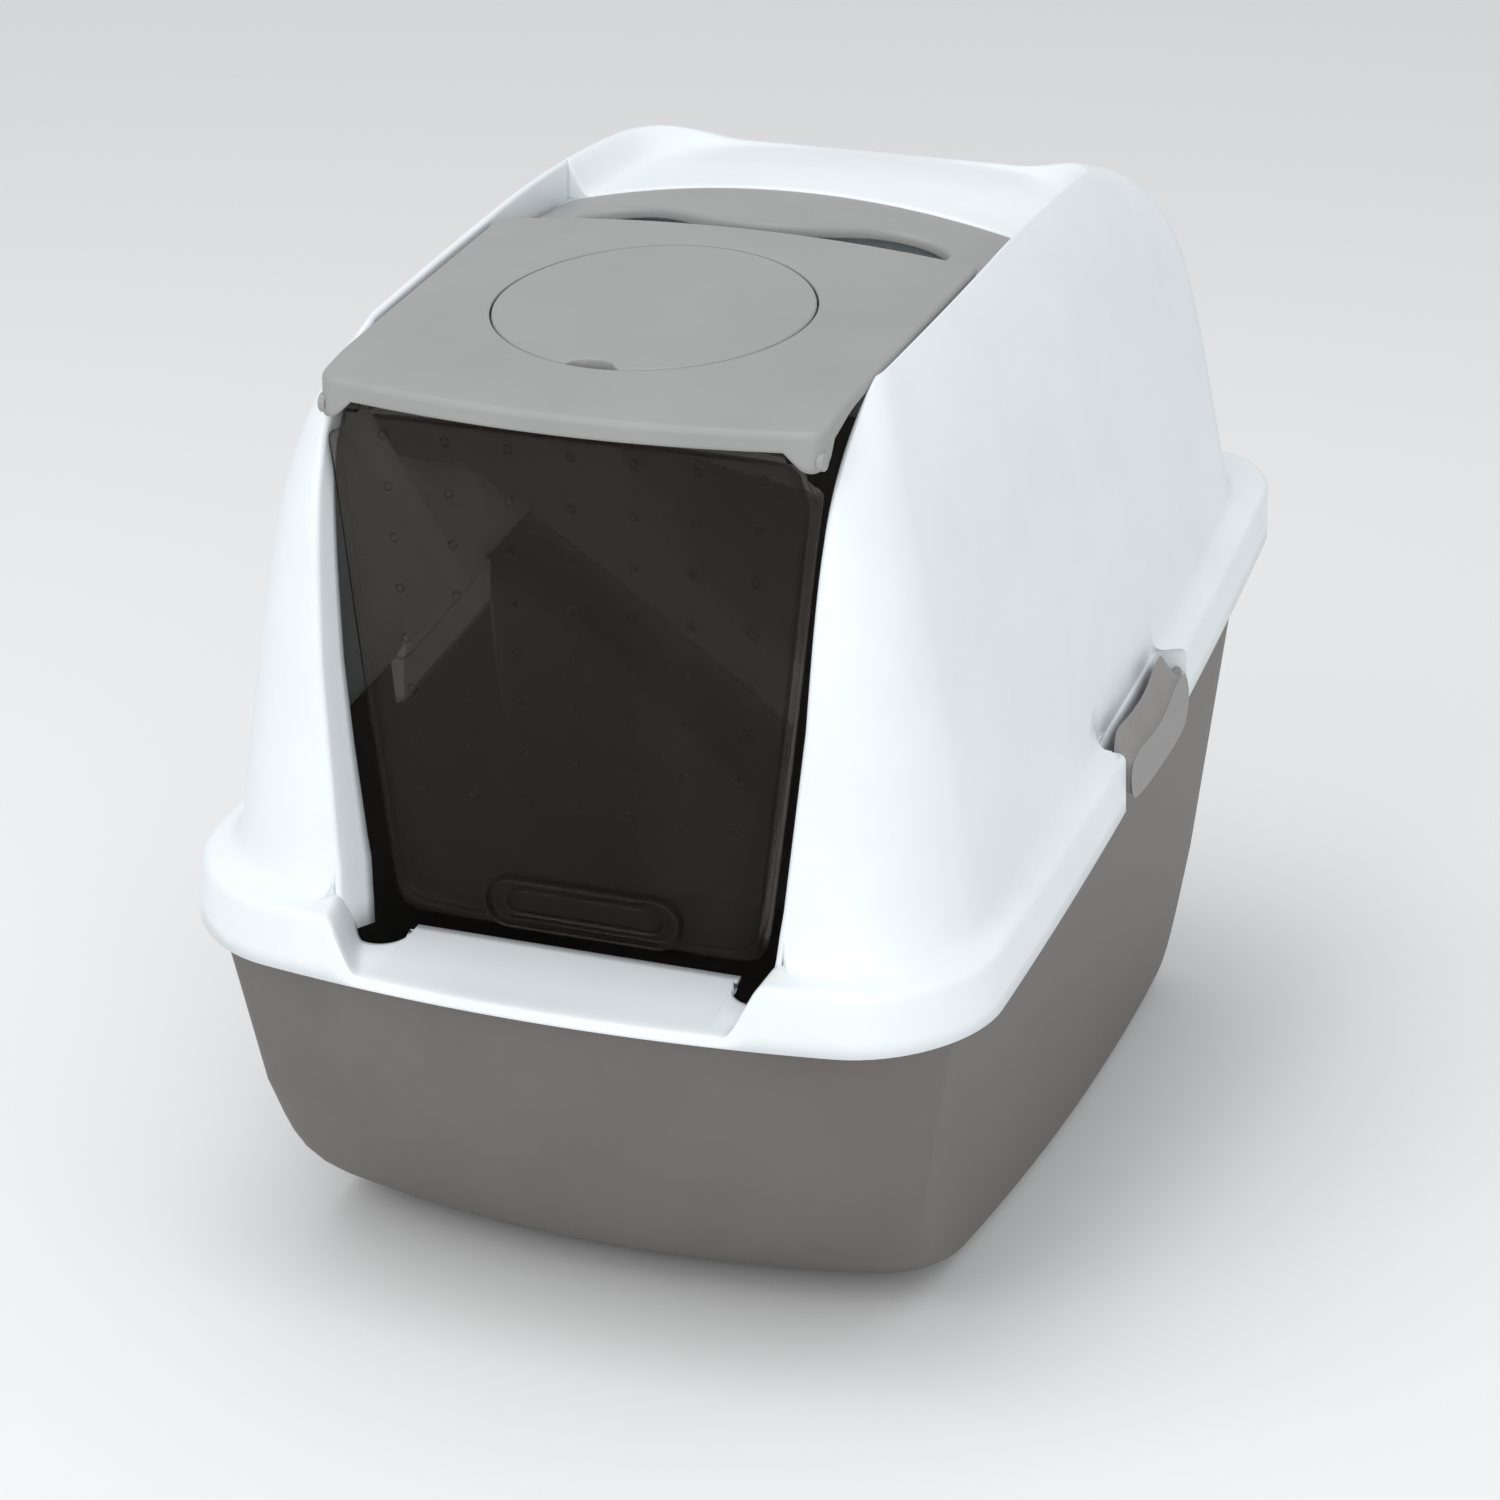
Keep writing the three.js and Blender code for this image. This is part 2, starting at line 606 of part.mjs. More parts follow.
function makeDoor() {
  const outline = [...DOOR_HALF, ...[...DOOR_HALF].reverse().map(([x, z]) => [-x, z])];
  const lean = new THREE.Matrix4();
  lean.elements[9] = -DOOR_LEAN;
  lean.elements[13] = DOOR_FACE_Y;
  const placed = (geometry) => toManifold(mergedCopy(geometry.applyMatrix4(lean)));
  const panel = placed(prismAlongY(outline, 0, DOOR_THICK));
  const scaledZ = (z, f) => DOOR_MIDDLE_Z + (z - DOOR_MIDDLE_Z) * f;
  const scaled = (wide, high) => outline.map(([x, z]) => [x * wide, scaledZ(z, high)]);
  const rib = placed(prismAlongY(scaled(0.985, 0.99), -1.2, 1))
    .subtract(placed(prismAlongY(scaled(0.955, 0.975), -3, 0)));
  const pull = placed(pullBlock(PULL.r, 1)).subtract(placed(pullBlock(PULL.innerR, 0)));
  let door = panel.add(rib).add(pull);
  for (const side of [-1, 1]) {
    const pin = toManifold(rodAlongX(PEG_R + 1, ...spanOnSide(side, 100, 110.8), ...DOOR_AXIS));
    const peg = toManifold(rodAlongX(PEG_R, ...spanOnSide(side, 109, 114.6), ...DOOR_AXIS));
    door = door.add(pin).add(peg);
  }
  return toGeometry(door);
}

// ---- carrying grip behind the lid ----
const HANDLE_HALF = 117.6;
const HANDLE_FRONT_Y = -34;
const HANDLE_THICK = 8;

// Follows the front lip of the roof, sinks a little forwards, and is flatter across at its front.
const handleTopZ = (x, y) => {
  const forward = 43 - y;
  return roofZ(x, 46) - 0.4 - 0.045 * forward + 0.036 * ((x / 105) ** 2) * forward;
};

function makeHandle() {
  const halfXs = [24, 48, 66, 82, 96, 108, HANDLE_HALF];
  const xs = [...[...halfXs].reverse().map((x) => -x), 0, ...halfXs];
  const ys = [HANDLE_FRONT_Y, -20, -6, 8, 22, 34, LIP_Y - 3 * GAP];
  const body = toManifold(slab(xs, ys, (x, y) => handleTopZ(x, y) - HANDLE_THICK, handleTopZ));
  const slot = new THREE.Shape();
  slot.moveTo(-92, -60);
  slot.lineTo(-92, -14);
  slot.bezierCurveTo(-92, 5, -64, 8, -48, -1);
  slot.bezierCurveTo(-32, -10, -20, -17, 0, -17);
  slot.bezierCurveTo(20, -17, 32, -10, 48, -1);
  slot.bezierCurveTo(64, 8, 92, 5, 92, -14);
  slot.lineTo(92, -60);
  const cut = new THREE.ExtrudeGeometry(slot, { depth: 80, bevelEnabled: false, curveSegments: 5 });
  return toGeometry(body.subtract(toManifold(cut.translate(0, 0, 410))));
}

// ---- assembly ----
const finish = (color, roughness, options = {}) =>
  new THREE.MeshStandardMaterial({ color, roughness, metalness: 0, ...options });
const named = (name, geometry, material) => {
  const mesh = new THREE.Mesh(geometry, material);
  mesh.name = name;
  return mesh;
};

const lidShell = makeLidShell();
const group = new THREE.Group();
group.add(named('litter_pan', makePan(), finish(0x6b6663, 0.5)));
group.add(named('hood_shell', makeHood(), finish(0xe8eff2, 0.42)));
group.add(named('carry_handle', makeHandle(), finish(0xa8a8a7, 0.45)));
group.add(named('top_lid', makeLid(lidShell), finish(0xa8a8a7, 0.45)));
group.add(named('filter_cover', makeCover(lidShell), finish(0xa8a8a7, 0.45)));
group.add(named('filter_tray', makeTray(), finish(0x969492, 0.5)));
group.add(named('carbon_filter', makeFilter(), finish(0x26262a, 0.95)));
group.add(named('swing_door', makeDoor(), finish(0x4a4644, 0.12, { transparent: true, opacity: 0.55 })));
group.add(named('left_latch', makeLatch(-1), finish(0x92908e, 0.5)));
group.add(named('right_latch', makeLatch(1), finish(0x92908e, 0.5)));

export default group;
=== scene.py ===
"""Hooded cat litter box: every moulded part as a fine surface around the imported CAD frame.

Shapes are worked out in millimetres, X to the right, Y to the rear and Z up, and scaled to metres
when a mesh is made. Each surface is a grid of points over two parameters. The hood, grip, lid and
cover are worked out as outer skins, and a Solidify modifier gives them the wall of a moulding; the
other pieces are closed surfaces. The pan, hood and grip are symmetric, so only their right halves
are worked out and then mirrored.
"""

import math

import bmesh
import bpy
import numpy as np
from mathutils import Matrix, Vector


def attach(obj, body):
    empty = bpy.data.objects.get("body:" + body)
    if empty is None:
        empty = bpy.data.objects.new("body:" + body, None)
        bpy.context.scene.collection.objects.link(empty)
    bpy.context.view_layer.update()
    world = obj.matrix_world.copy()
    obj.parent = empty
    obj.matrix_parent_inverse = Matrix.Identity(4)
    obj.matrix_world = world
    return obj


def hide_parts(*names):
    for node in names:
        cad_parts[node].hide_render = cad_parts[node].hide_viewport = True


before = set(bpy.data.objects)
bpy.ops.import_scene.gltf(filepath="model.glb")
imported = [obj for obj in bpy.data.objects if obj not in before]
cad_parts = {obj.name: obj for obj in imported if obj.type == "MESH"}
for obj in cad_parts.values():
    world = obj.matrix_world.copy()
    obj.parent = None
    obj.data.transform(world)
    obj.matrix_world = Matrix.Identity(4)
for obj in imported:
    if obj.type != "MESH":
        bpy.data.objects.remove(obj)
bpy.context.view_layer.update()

MM = 0.001

# ---- driving dimensions, in millimetres ----
LENGTH = 570.0
HEIGHT = 465.0

RIM_FRONT_Z = 161.0
RIM_RISE = 98.2
RIM_SAG = 9.16
SKIRT = dict(
    half=193.6, front=-LENGTH / 2, rear=LENGTH / 2, front_r=56, rear_r=36,
    front_bow=21, rear_bow=3.5, side_bow=4.2)

HOOD_FOOT = 30.0
HOOD_BASE_HALF = 179.0
HOOD_CREST_HALF = 122.5
HOOD_REAR_Y = 268.0
CREST_REAR_RUN = 103.0
PILLAR_FRONT_Y = -263.0
CREST_PEAK_Y = 90.0
EDGE_R = 2.2
LIP_Y = 45.6

LID_REAR_Y = -46.0
LID_FRONT_Y = -249.0
LID_REAR_Z = 455.0
LID_SLOPE = 0.118
LID_HALF_REAR = 118.0
LID_HALF_FRONT = 115.6
LID_CROWN = 7.0
LID_TILT = math.atan(LID_SLOPE)
COVER_R = 71.6
COVER_Y = -146.0

DOOR_AXIS = (-243.5, 416.0)
DOOR_BOTTOM_Z = 180.0
DOOR_LEAN = 0.056
DOOR_THICK = 2.4

LATCH_Y = 28.0
LATCH_Z = 216.0
LATCH_TILT = math.atan(0.176)
LATCH_OUT = 195.0
LATCH_THICK = 10.0
POCKET_X = 180.2
POCKET_Y = (-25.6, 79.2)

SILL_Y = -232.0
KEYHOLE = (90.5, -241.0, 13.2)
RAMP = (84.0, 102.0)


# ---- formulas shared by the parts ----
def smooth(a, b, v):
    """0 before a, 1 after b, an S-curve between."""
    t = np.clip((np.asarray(v, float) - a) / (b - a), 0, 1)
    return t * t * (3 - 2 * t)


def rim_z(y):
    """Lower edge of the hood: a straight climb less a parabola of sag."""
    t = (y + LENGTH / 2) / LENGTH
    return RIM_FRONT_Z + RIM_RISE * t - RIM_SAG * 4 * t * (1 - t)


def crest_z(y):
    """Top of the hood's side walls: a straight slope beside the lid, then a parabola."""
    start = LID_REAR_Z + 1.2
    slope = start + LID_SLOPE * (y - LID_REAR_Y)
    run = (CREST_PEAK_Y - y) / (CREST_PEAK_Y - LID_REAR_Y)
    return np.where(y < LID_REAR_Y, slope, HEIGHT - (HEIGHT - start) * run ** 2)


def lid_edge_z(y):
    """Side edge of the lid: a straight slope with a droop over the last stretch to the front."""
    droop = np.maximum(0, -215 - y) / 40
    return LID_REAR_Z + LID_SLOPE * (y - LID_REAR_Y) - 5 * droop ** 2


def lid_top_z(x, y):
    """Lid surface: the edge line plus a parabolic crown that fades towards the front."""
    fade = smooth(LID_FRONT_Y - 8, LID_FRONT_Y + 110, y)
    return lid_edge_z(y) + (0.8 + (LID_CROWN - 0.8) * fade) * (1 - (x / LID_HALF_REAR) ** 2)


def roof_z(x, y):
    """White roof behind the grip: below the crests, and crowned across."""
    drop = 12 - 7 * smooth(50, 165, y)
    return crest_z(y) - 3.4 - 4 * smooth(80, 170, y) - drop * (x / 105) ** 2


def outline(half, front, rear, front_r, rear_r, front_bow=0, rear_bow=0, side_bow=0):
    """Right half of a bowed rectangle with round corners, from front middle to rear middle.

    Points lie at even steps along front, corner, side, corner and rear, so that equal indices in
    two outlines are the same place on the part. The front bow pushes the corners back, the rear
    bow pulls them forward and the side bow narrows both ends, each as a parabola."""
    f = np.linspace(0, 1, 41)
    c = np.linspace(0, math.pi / 2, 17)
    s = np.linspace(0, 1, 81)
    r = np.linspace(0, 1, 21)
    x = np.concatenate([
        (half - front_r) * f,
        half - front_r + front_r * np.sin(c[1:]),
        np.full(80, half),
        half - rear_r + rear_r * np.cos(c[1:]),
        (half - rear_r) * (1 - r[1:]),
    ])
    y = np.concatenate([
        np.full(41, front),
        front + front_r - front_r * np.cos(c[1:]),
        front + front_r + (rear - rear_r - front - front_r) * s[1:],
        rear - rear_r + rear_r * np.sin(c[1:]),
        np.full(20, rear),
    ])
    t = (2 * y - front - rear) / (rear - front)
    bow = front_bow * ((1 - t) / 2) ** 2 - rear_bow * ((1 + t) / 2) ** 2
    return np.stack([x * (1 - side_bow / half * t ** 2), y + (x / half) ** 2 * bow], 1)


def sample(points, index):
    """Points at fractional indices along a polyline."""
    at = np.arange(len(points))
    return np.stack([np.interp(index, at, points[:, k]) for k in range(points.shape[1])], -1)


def arc_lengths(points):
    steps = np.linalg.norm(np.diff(points, axis=0), axis=1)
    return np.concatenate([[0], np.cumsum(steps)])


def resample(points, count):
    """The polyline again with count points at even distances."""
    length = arc_lengths(points)
    at = np.linspace(0, length[-1], count)
    return np.stack([np.interp(at, length, points[:, k]) for k in range(points.shape[1])], -1)


def rounded(points, passes=3, closed=False):
    """Chaikin's corner cutting: each corner becomes a short curve."""
    for _ in range(passes):
        near = np.roll(points, -1, 0) if closed else points[1:]
        base = points if closed else points[:-1]
        cut = np.stack([0.75 * base + 0.25 * near, 0.25 * base + 0.75 * near], 1)
        cut = cut.reshape(-1, points.shape[1])
        points = cut if closed else np.concatenate([points[:1], cut, points[-1:]])
    return points


# ---- grids to meshes ----
def grid(points, closed=False):
    """Quads over a (rows, columns, 3) array of points. closed joins the last column to the first."""
    rows, cols = points.shape[:2]
    i, j = np.meshgrid(np.arange(rows - 1), np.arange(cols if closed else cols - 1), indexing="ij")
    k = (j + 1) % cols
    quads = np.stack([i * cols + j, i * cols + k, (i + 1) * cols + k, (i + 1) * cols + j], -1)
    return points.reshape(-1, 3), quads.reshape(-1, 4)


def flat_cap(points):
    """One flat face inside a closed outline."""
    return points, np.arange(len(points))[None]


def flipped(part):
    return part[0], part[1][:, ::-1]


def mirrored(part):
    return part[0] * [-1, 1, 1], part[1][:, ::-1]


def both_sides(parts):
    return parts + [mirrored(p) for p in parts]


def make_piece(name, parts, material, body, nodes=(), wall=0, crease=32, facing=None):
    """One object from several grids: doubles merged, faces turned outwards, shaded smooth up to the
    crease angle. facing is (point, direction): the face nearest that point looks that way. wall is
    the thickness that Solidify adds on the inner side."""
    start = np.cumsum([0] + [len(p[0]) for p in parts])
    verts = np.concatenate([p[0] for p in parts]) * MM
    faces = sum([(p[1] + s).tolist() for p, s in zip(parts, start)], [])
    mesh = bpy.data.meshes.new(name)
    mesh.from_pydata(verts.tolist(), [], faces)
    work = bmesh.new()
    work.from_mesh(mesh)
    bmesh.ops.remove_doubles(work, verts=work.verts, dist=0.02 * MM)
    bmesh.ops.dissolve_degenerate(work, edges=work.edges, dist=0.005 * MM)
    loose = [v for v in work.verts if not v.link_faces]
    bmesh.ops.delete(work, geom=loose, context="VERTS")
    if facing:
        bmesh.ops.recalc_face_normals(work, faces=work.faces)
        at = Vector(facing[0]) * MM
        near = min(work.faces, key=lambda f: (f.calc_center_median() - at).length)
        if near.normal.dot(Vector(facing[1])) < 0:
            bmesh.ops.reverse_faces(work, faces=work.faces)
    work.to_mesh(mesh)
    work.free()
    mesh.shade_smooth()
    mesh.set_sharp_from_angle(angle=math.radians(crease))
    piece = bpy.data.objects.new(name, mesh)
    bpy.context.scene.collection.objects.link(piece)
    if wall:
        solid = piece.modifiers.new("wall", "SOLIDIFY")
        solid.thickness = wall * MM
        solid.offset = -1
        solid.use_even_offset = False
    mesh.materials.append(material)
    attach(piece, body)
    if nodes:
        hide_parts(*nodes)
    return piece


def tube(start, end, radius, sides=20, bevel=0.4):
    """Closed round bar along a straight line, with small chamfers at its ends."""
    start, end = np.array(start, float), np.array(end, float)
    along = (end - start) / np.linalg.norm(end - start)
    across = np.cross(along, [0.3, 0.5, 0.8])
    across /= np.linalg.norm(across)
    third = np.cross(along, across)
    angle = np.linspace(0, 2 * math.pi, sides, endpoint=False)[:, None]
    ring = np.cos(angle) * across + np.sin(angle) * third
    stations = [(start, 0), (start, radius - bevel), (start + bevel * along, radius),
                (end - bevel * along, radius), (end, radius - bevel), (end, 0)]
    return grid(np.stack([p + r * ring for p, r in stations]), closed=True)


# ---- materials ----
def linear(code):
    """sRGB hex to linear colour."""
    values = [int(code[i:i + 2], 16) / 255 for i in (0, 2, 4)]
    return tuple(v / 12.92 if v <= 0.04045 else ((v + 0.055) / 1.055) ** 2.4 for v in values) + (1.0,)


def add(tree, kind, settings=None, links=None):
    """Adds a node, sets its properties or inputs by name, and links inputs from (node, output)."""
    node = tree.nodes.new(kind)
    for key, value in (settings or {}).items():
        if isinstance(key, str) and hasattr(node, key):
            setattr(node, key, value)
        else:
            node.inputs[key].default_value = value
    for key, (source, output) in (links or {}).items():
        tree.links.new(source.outputs[output], node.inputs[key])
    return node


def new_material(name):
    material = bpy.data.materials.new(name)
    material.use_nodes = True
    tree = material.node_tree
    tree.nodes.clear()
    return material, tree


def moulded_plastic(name, dark, light, roughness, grain_mm, grain_depth):
    """Injection-moulded plastic: a faint cloudiness in the pigment, a fine mould grain, and a
    roughness that varies a little where the tool is worn smoother."""
    material, tree = new_material(name)
    coord = add(tree, "ShaderNodeTexCoord")
    cloud = add(tree, "ShaderNodeTexNoise", {"Scale": 1 / (60 * MM), "Detail": 3.0, "Roughness": 0.55},
                {"Vector": (coord, "Object")})
    tone = add(tree, "ShaderNodeValToRGB", {}, {"Fac": (cloud, "Fac")})
    tone.color_ramp.elements[0].position = 0.3
    tone.color_ramp.elements[0].color = linear(dark)
    tone.color_ramp.elements[1].position = 0.7
    tone.color_ramp.elements[1].color = linear(light)
    wear = add(tree, "ShaderNodeMapRange", {"To Min": roughness - 0.04, "To Max": roughness + 0.05},
               {"Value": (cloud, "Fac")})
    grain = add(tree, "ShaderNodeTexNoise", {"Scale": 1 / (grain_mm * MM), "Detail": 2.0, "Roughness": 0.6},
                {"Vector": (coord, "Object")})
    bump = add(tree, "ShaderNodeBump", {"Strength": 0.35, "Distance": grain_depth * MM},
               {"Height": (grain, "Fac")})
    shader = add(tree, "ShaderNodeBsdfPrincipled", {"IOR": 1.5},
                 {"Base Color": (tone, "Color"), "Roughness": (wear, "Result"), "Normal": (bump, "Normal")})
    add(tree, "ShaderNodeOutputMaterial", {}, {"Surface": (shader, "BSDF")})
    return material


def clear_smoke_polystyrene():
    """Smoke-tinted clear polystyrene, polished in the mould: thin, dark and glossy. Each face lets
    most light straight through, tinted, and mirrors the rest more the flatter it is looked at."""
    material, tree = new_material("smoke_clear_polystyrene")
    coord = add(tree, "ShaderNodeTexCoord")
    ripple = add(tree, "ShaderNodeTexNoise", {"Scale": 1 / (30 * MM), "Detail": 1.0},
                 {"Vector": (coord, "Object")})
    bump = add(tree, "ShaderNodeBump", {"Strength": 0.1, "Distance": 0.05 * MM},
               {"Height": (ripple, "Fac")})
    tint = add(tree, "ShaderNodeBsdfTransparent", {"Color": linear("f3f0ee")})
    gloss = add(tree, "ShaderNodeBsdfPrincipled",
                {"Base Color": linear("4c4744"), "Roughness": 0.06, "IOR": 1.58},
                {"Normal": (bump, "Normal")})
    facing = add(tree, "ShaderNodeFresnel", {"IOR": 1.58}, {"Normal": (bump, "Normal")})
    share = add(tree, "ShaderNodeMapRange", {"To Min": 0.05, "To Max": 1.0}, {"Value": (facing, "Fac")})
    mix = add(tree, "ShaderNodeMixShader", {},
              {"Fac": (share, "Result"), 1: (tint, "BSDF"), 2: (gloss, "BSDF")})
    add(tree, "ShaderNodeOutputMaterial", {}, {"Surface": (mix, "Shader")})
    return material


def carbon_foam():
    """Open-cell foam loaded with carbon: matt black, full of small pores, with painted shade darkest in each
    pore's hollow.
    """
    material, tree = new_material("carbon_loaded_foam")
    coord = add(tree, "ShaderNodeTexCoord")
    cells = add(tree, "ShaderNodeTexVoronoi", {"Scale": 1 / (1.6 * MM)}, {"Vector": (coord, "Object")})
    # Painted shade: the colour runs from darkest at each pore's middle, where the bump is lowest, to lighter
    # on the cell walls.
    tone = add(tree, "ShaderNodeValToRGB", {}, {"Fac": (cells, "Distance")})
    tone.color_ramp.elements[0].color = linear("101013")
    tone.color_ramp.elements[1].color = linear("36363b")
    bump = add(tree, "ShaderNodeBump", {"Strength": 0.8, "Distance": 0.5 * MM},
               {"Height": (cells, "Distance")})
    shader = add(tree, "ShaderNodeBsdfPrincipled", {"Roughness": 0.95},
                 {"Base Color": (tone, "Color"), "Normal": (bump, "Normal")})
    add(tree, "ShaderNodeOutputMaterial", {}, {"Surface": (shader, "BSDF")})
    return material


PAN_PLASTIC = moulded_plastic("dark_grey_polypropylene", "66625f", "6c6865", 0.5, 0.9, 0.05)
HOOD_PLASTIC = moulded_plastic("white_polypropylene", "e9eff1", "eff4f6", 0.36, 1.2, 0.02)
GREY_PLASTIC = moulded_plastic("mid_grey_polypropylene", "969695", "9c9c9b", 0.42, 0.8, 0.03)
TRAY_PLASTIC = moulded_plastic("grey_tray_polypropylene", "959391", "9b9997", 0.5, 0.9, 0.04)
LATCH_PLASTIC = moulded_plastic("warm_grey_polypropylene", "8e8b89", "949190", 0.45, 0.8, 0.04)
DOOR_PLASTIC = clear_smoke_polystyrene()
FOAM = carbon_foam()


# ---- litter pan ----
PAN_TOP = dict(half=185, front=-275, rear=278, front_r=22, rear_r=34, front_bow=33, rear_bow=4, side_bow=5)
PAN_BOWS = dict(front_bow=27, rear_bow=4, side_bow=8)
PAN_CREASE_R = 5.0
PAN_STATIONS = rounded(np.array([
    [0, 151, -150, 238, 40, 24],
    [4, 156, -174, 246, 36, 26],
    [16, 160, -205, 254, 26, 28],
    [38, 163.5, -231, 260, 8, 30],
    [80, 169, -250, 266, PAN_CREASE_R, 32],
], float))


def pan_outline(z, inset=0.0):
    """Wall outline at a height, between the stations. The front wall meets the side at a crease."""
    heights, *columns = PAN_STATIONS.T
    half, front, rear, front_r, rear_r = (np.interp(z, heights, column) for column in columns)
    return outline(half - inset, front + inset, rear - inset, front_r, rear_r - inset, **PAN_BOWS)


def pan_full_z(x, y):
    """Rim height over the hood's lower edge, down at the sill."""
    sill = np.where(y > -180, 1, smooth(RAMP[0] + 14, RAMP[1] + 16, np.abs(x)))
    return rim_z(y) + 0.6 + 26 * sill


def pan_top_z(x, y):
    """Rim height, down at the sill and down beside the latch pockets."""
    high = pan_full_z(x, y)
    beside = (y > POCKET_Y[0] - 8) & (y < POCKET_Y[1] + 8)
    relieved = LATCH_Z - 8.6 + math.tan(LATCH_TILT) * (y - LATCH_Y) - 0.2
    return np.where(beside, np.minimum(high, relieved), high)


def pan_columns():
    """Outline indices, with extra columns where the rim steps down beside the latch."""
    base = np.concatenate([np.linspace(0, 40, 31), np.linspace(40, 56, 13)[1:]])
    side = outline(**PAN_TOP)
    steps = [np.interp(y, side[56:137, 1], np.arange(56, 137)) for y in
             (POCKET_Y[0] - 8.4, POCKET_Y[0] - 7.6, POCKET_Y[1] + 7.6, POCKET_Y[1] + 8.4)]
    along = np.sort(np.concatenate([np.linspace(56, 136, 46)[1:], steps]))
    rest = np.concatenate([np.linspace(136, 152, 13)[1:], np.linspace(152, 172, 12)[1:]])
    return np.concatenate([base, along, rest])


def build_pan():
    """Closed tub: rows run from the middle of the underside up the wall, over the lip and down the
    inside to the middle of the floor."""
    wall = 3.0
    index = pan_columns()
    rows = []

    def ring(points, z):
        flat = sample(points, index)
        heights = z(flat[:, 0], flat[:, 1]) if callable(z) else np.full(len(flat), float(z))
        rows.append(np.column_stack([flat, heights]))

    foot = pan_outline(0)
    for f in (0.0, 0.4, 0.8, 0.97):
        ring(foot * [f, f] + [0, (1 - f) * 44], 0)
    for z in (0.0, 0.7, 1.8, 4, 7, 11, 16, 22, 29, 38, 48, 58, 69, 80):
        ring(pan_outline(z), z)
    top, crisp_top = outline(**PAN_TOP), outline(**dict(PAN_TOP, front_r=PAN_CREASE_R))
    low = pan_outline(80)
    for f in (0.2, 0.4, 0.6, 0.7, 0.8, 0.97):
        reach = crisp_top + (top - crisp_top) * smooth(0.6, 0.85, f)
        mid = low + (reach - low) * f
        ring(mid, lambda x, y: np.minimum(80 + (pan_full_z(x, y) - 3.2 - 80) * f,
                                          pan_top_z(x, y) - 3.3 - 8 * (0.97 - f)))
    wider = dict(PAN_TOP, half=187.4, front=-277.4, rear=280.4)
    ring(outline(**dict(wider, half=187.0, front=-277.0, rear=280.0)), lambda x, y: pan_top_z(x, y) - 3.1)
    ring(outline(**wider), lambda x, y: pan_top_z(x, y) - 2.6)
    ring(outline(**wider), lambda x, y: pan_top_z(x, y) - 0.8)
    ring(outline(**dict(wider, half=186.6, front=-276.6, rear=279.6)), pan_top_z)
    inner = dict(PAN_TOP, half=185 - wall, front=-275 + wall, rear=278 - wall, front_r=19, rear_r=31)
    inner_top = outline(**inner)
    ring(inner_top, pan_top_z)
    inner_low = pan_outline(80, wall)
    for f in (0.97, 0.75, 0.5, 0.25):
        mid = inner_low + (inner_top - inner_low) * f
        ring(mid, lambda x, y: 80 + (pan_top_z(x, y) - 1 - 80) * f)
    for z in (80, 60, 45, 34, 26, 19, 13, 9, 6.4, 4.4):
        ring(pan_outline(z, wall), z)
    floor = pan_outline(4.4, wall + 3)
    for f in (1.0, 0.93, 0.6, 0.0):
        ring(floor * [f, f] + [0, (1 - f) * 38], 3.0)
    parts = both_sides([flipped(grid(np.stack(rows)))])
    return make_piece("pan", parts, PAN_PLASTIC, "base", ["litter_pan"], crease=28,
                      facing=((0, -262, 110), (0, -1, 0)))


# ---- hood ----
OPENING_HALF = np.array([
    [99.6, 150], [100.6, 186], [105, 215], [109, 260],
    [112.5, 300], [115.6, 380], [116.4, 425], [116.5, 500],
])


def side_lean(h):
    """How far the side has leant in at a fraction h of the wall's height, from 0 to 1."""
    return 0.63 * h + 0.37 * h ** 5.5


def rear_lean(h):
    """The same at the rear, where the shoulder comes later."""
    return 0.15 * h + 0.85 * h ** 14


def hood_ring(h):
    """Wall ring at a fraction h of its height: a straight lean with a late shoulder, more so at the
    rear. The rear of the top ring sinks from the crests to the roof."""
    flat = outline(
        HOOD_BASE_HALF - (HOOD_BASE_HALF - HOOD_CREST_HALF) * side_lean(h),
        PILLAR_FRONT_Y + 10 * h + 34 * h ** 10,
        HOOD_REAR_Y - CREST_REAR_RUN * rear_lean(h),
        54 - 14 * h, 50, 13 * (1 - h), 3, 4)
    x, y = flat.T
    sink = 7.4 * smooth(118, 72, x) * smooth(125, 162, y)
    z = rim_z(y) + HOOD_FOOT + h * (crest_z(y) - sink - rim_z(y) - HOOD_FOOT)
    return np.column_stack([flat, z])


def pillar_index(ring):
    """Index where a ring meets the pillar's inner edge."""
    gap = ring[:100, 0] - np.interp(ring[:100, 2], OPENING_HALF[:, 1], OPENING_HALF[:, 0]) - EDGE_R
    first = int(np.argmax(gap > 0))
    return first - 1 + gap[first - 1] / (gap[first - 1] - gap[first])


FRONT_COLUMNS = 22
FOOT_H = 0.056


def side_index():
    """Fixed column indices from the front corner to the rear middle: doubled at both ends of the
    latch pocket, with one at the roof's front lip."""
    skirt = outline(**SKIRT)
    crest = hood_ring(1.0)
    at = np.arange(56, 137)
    pocket = [np.interp(y, skirt[56:137, 1], at) for y in
              (POCKET_Y[0] - 1.4, POCKET_Y[0], POCKET_Y[1], POCKET_Y[1] + 1.4)]
    lip = np.interp(LIP_Y, crest[56:137, 1], at)
    pieces = [
        np.linspace(56, pocket[0], 22)[1:],
        np.linspace(pocket[1], pocket[2], 22),
        np.linspace(pocket[3], lip, 9),
        np.linspace(lip, 136, 16)[1:],
        np.linspace(136, 152, 20)[1:],
        np.linspace(152, 172, 14)[1:],
    ]
    inside = np.concatenate([np.zeros(21, bool), np.ones(22, bool), np.zeros(8 + 1 + 15 + 19 + 13, bool)])
    index = np.concatenate(pieces)
    return index, inside, int(np.argmin(abs(index - lip)))


def wall_row(h, fixed):
    """Wall ring from the pillar's edge on: even columns to the front corner, then the fixed ones."""
    ring = hood_ring(h)
    front = np.linspace(pillar_index(ring), 56, FRONT_COLUMNS)
    return sample(ring, np.concatenate([front, fixed]))


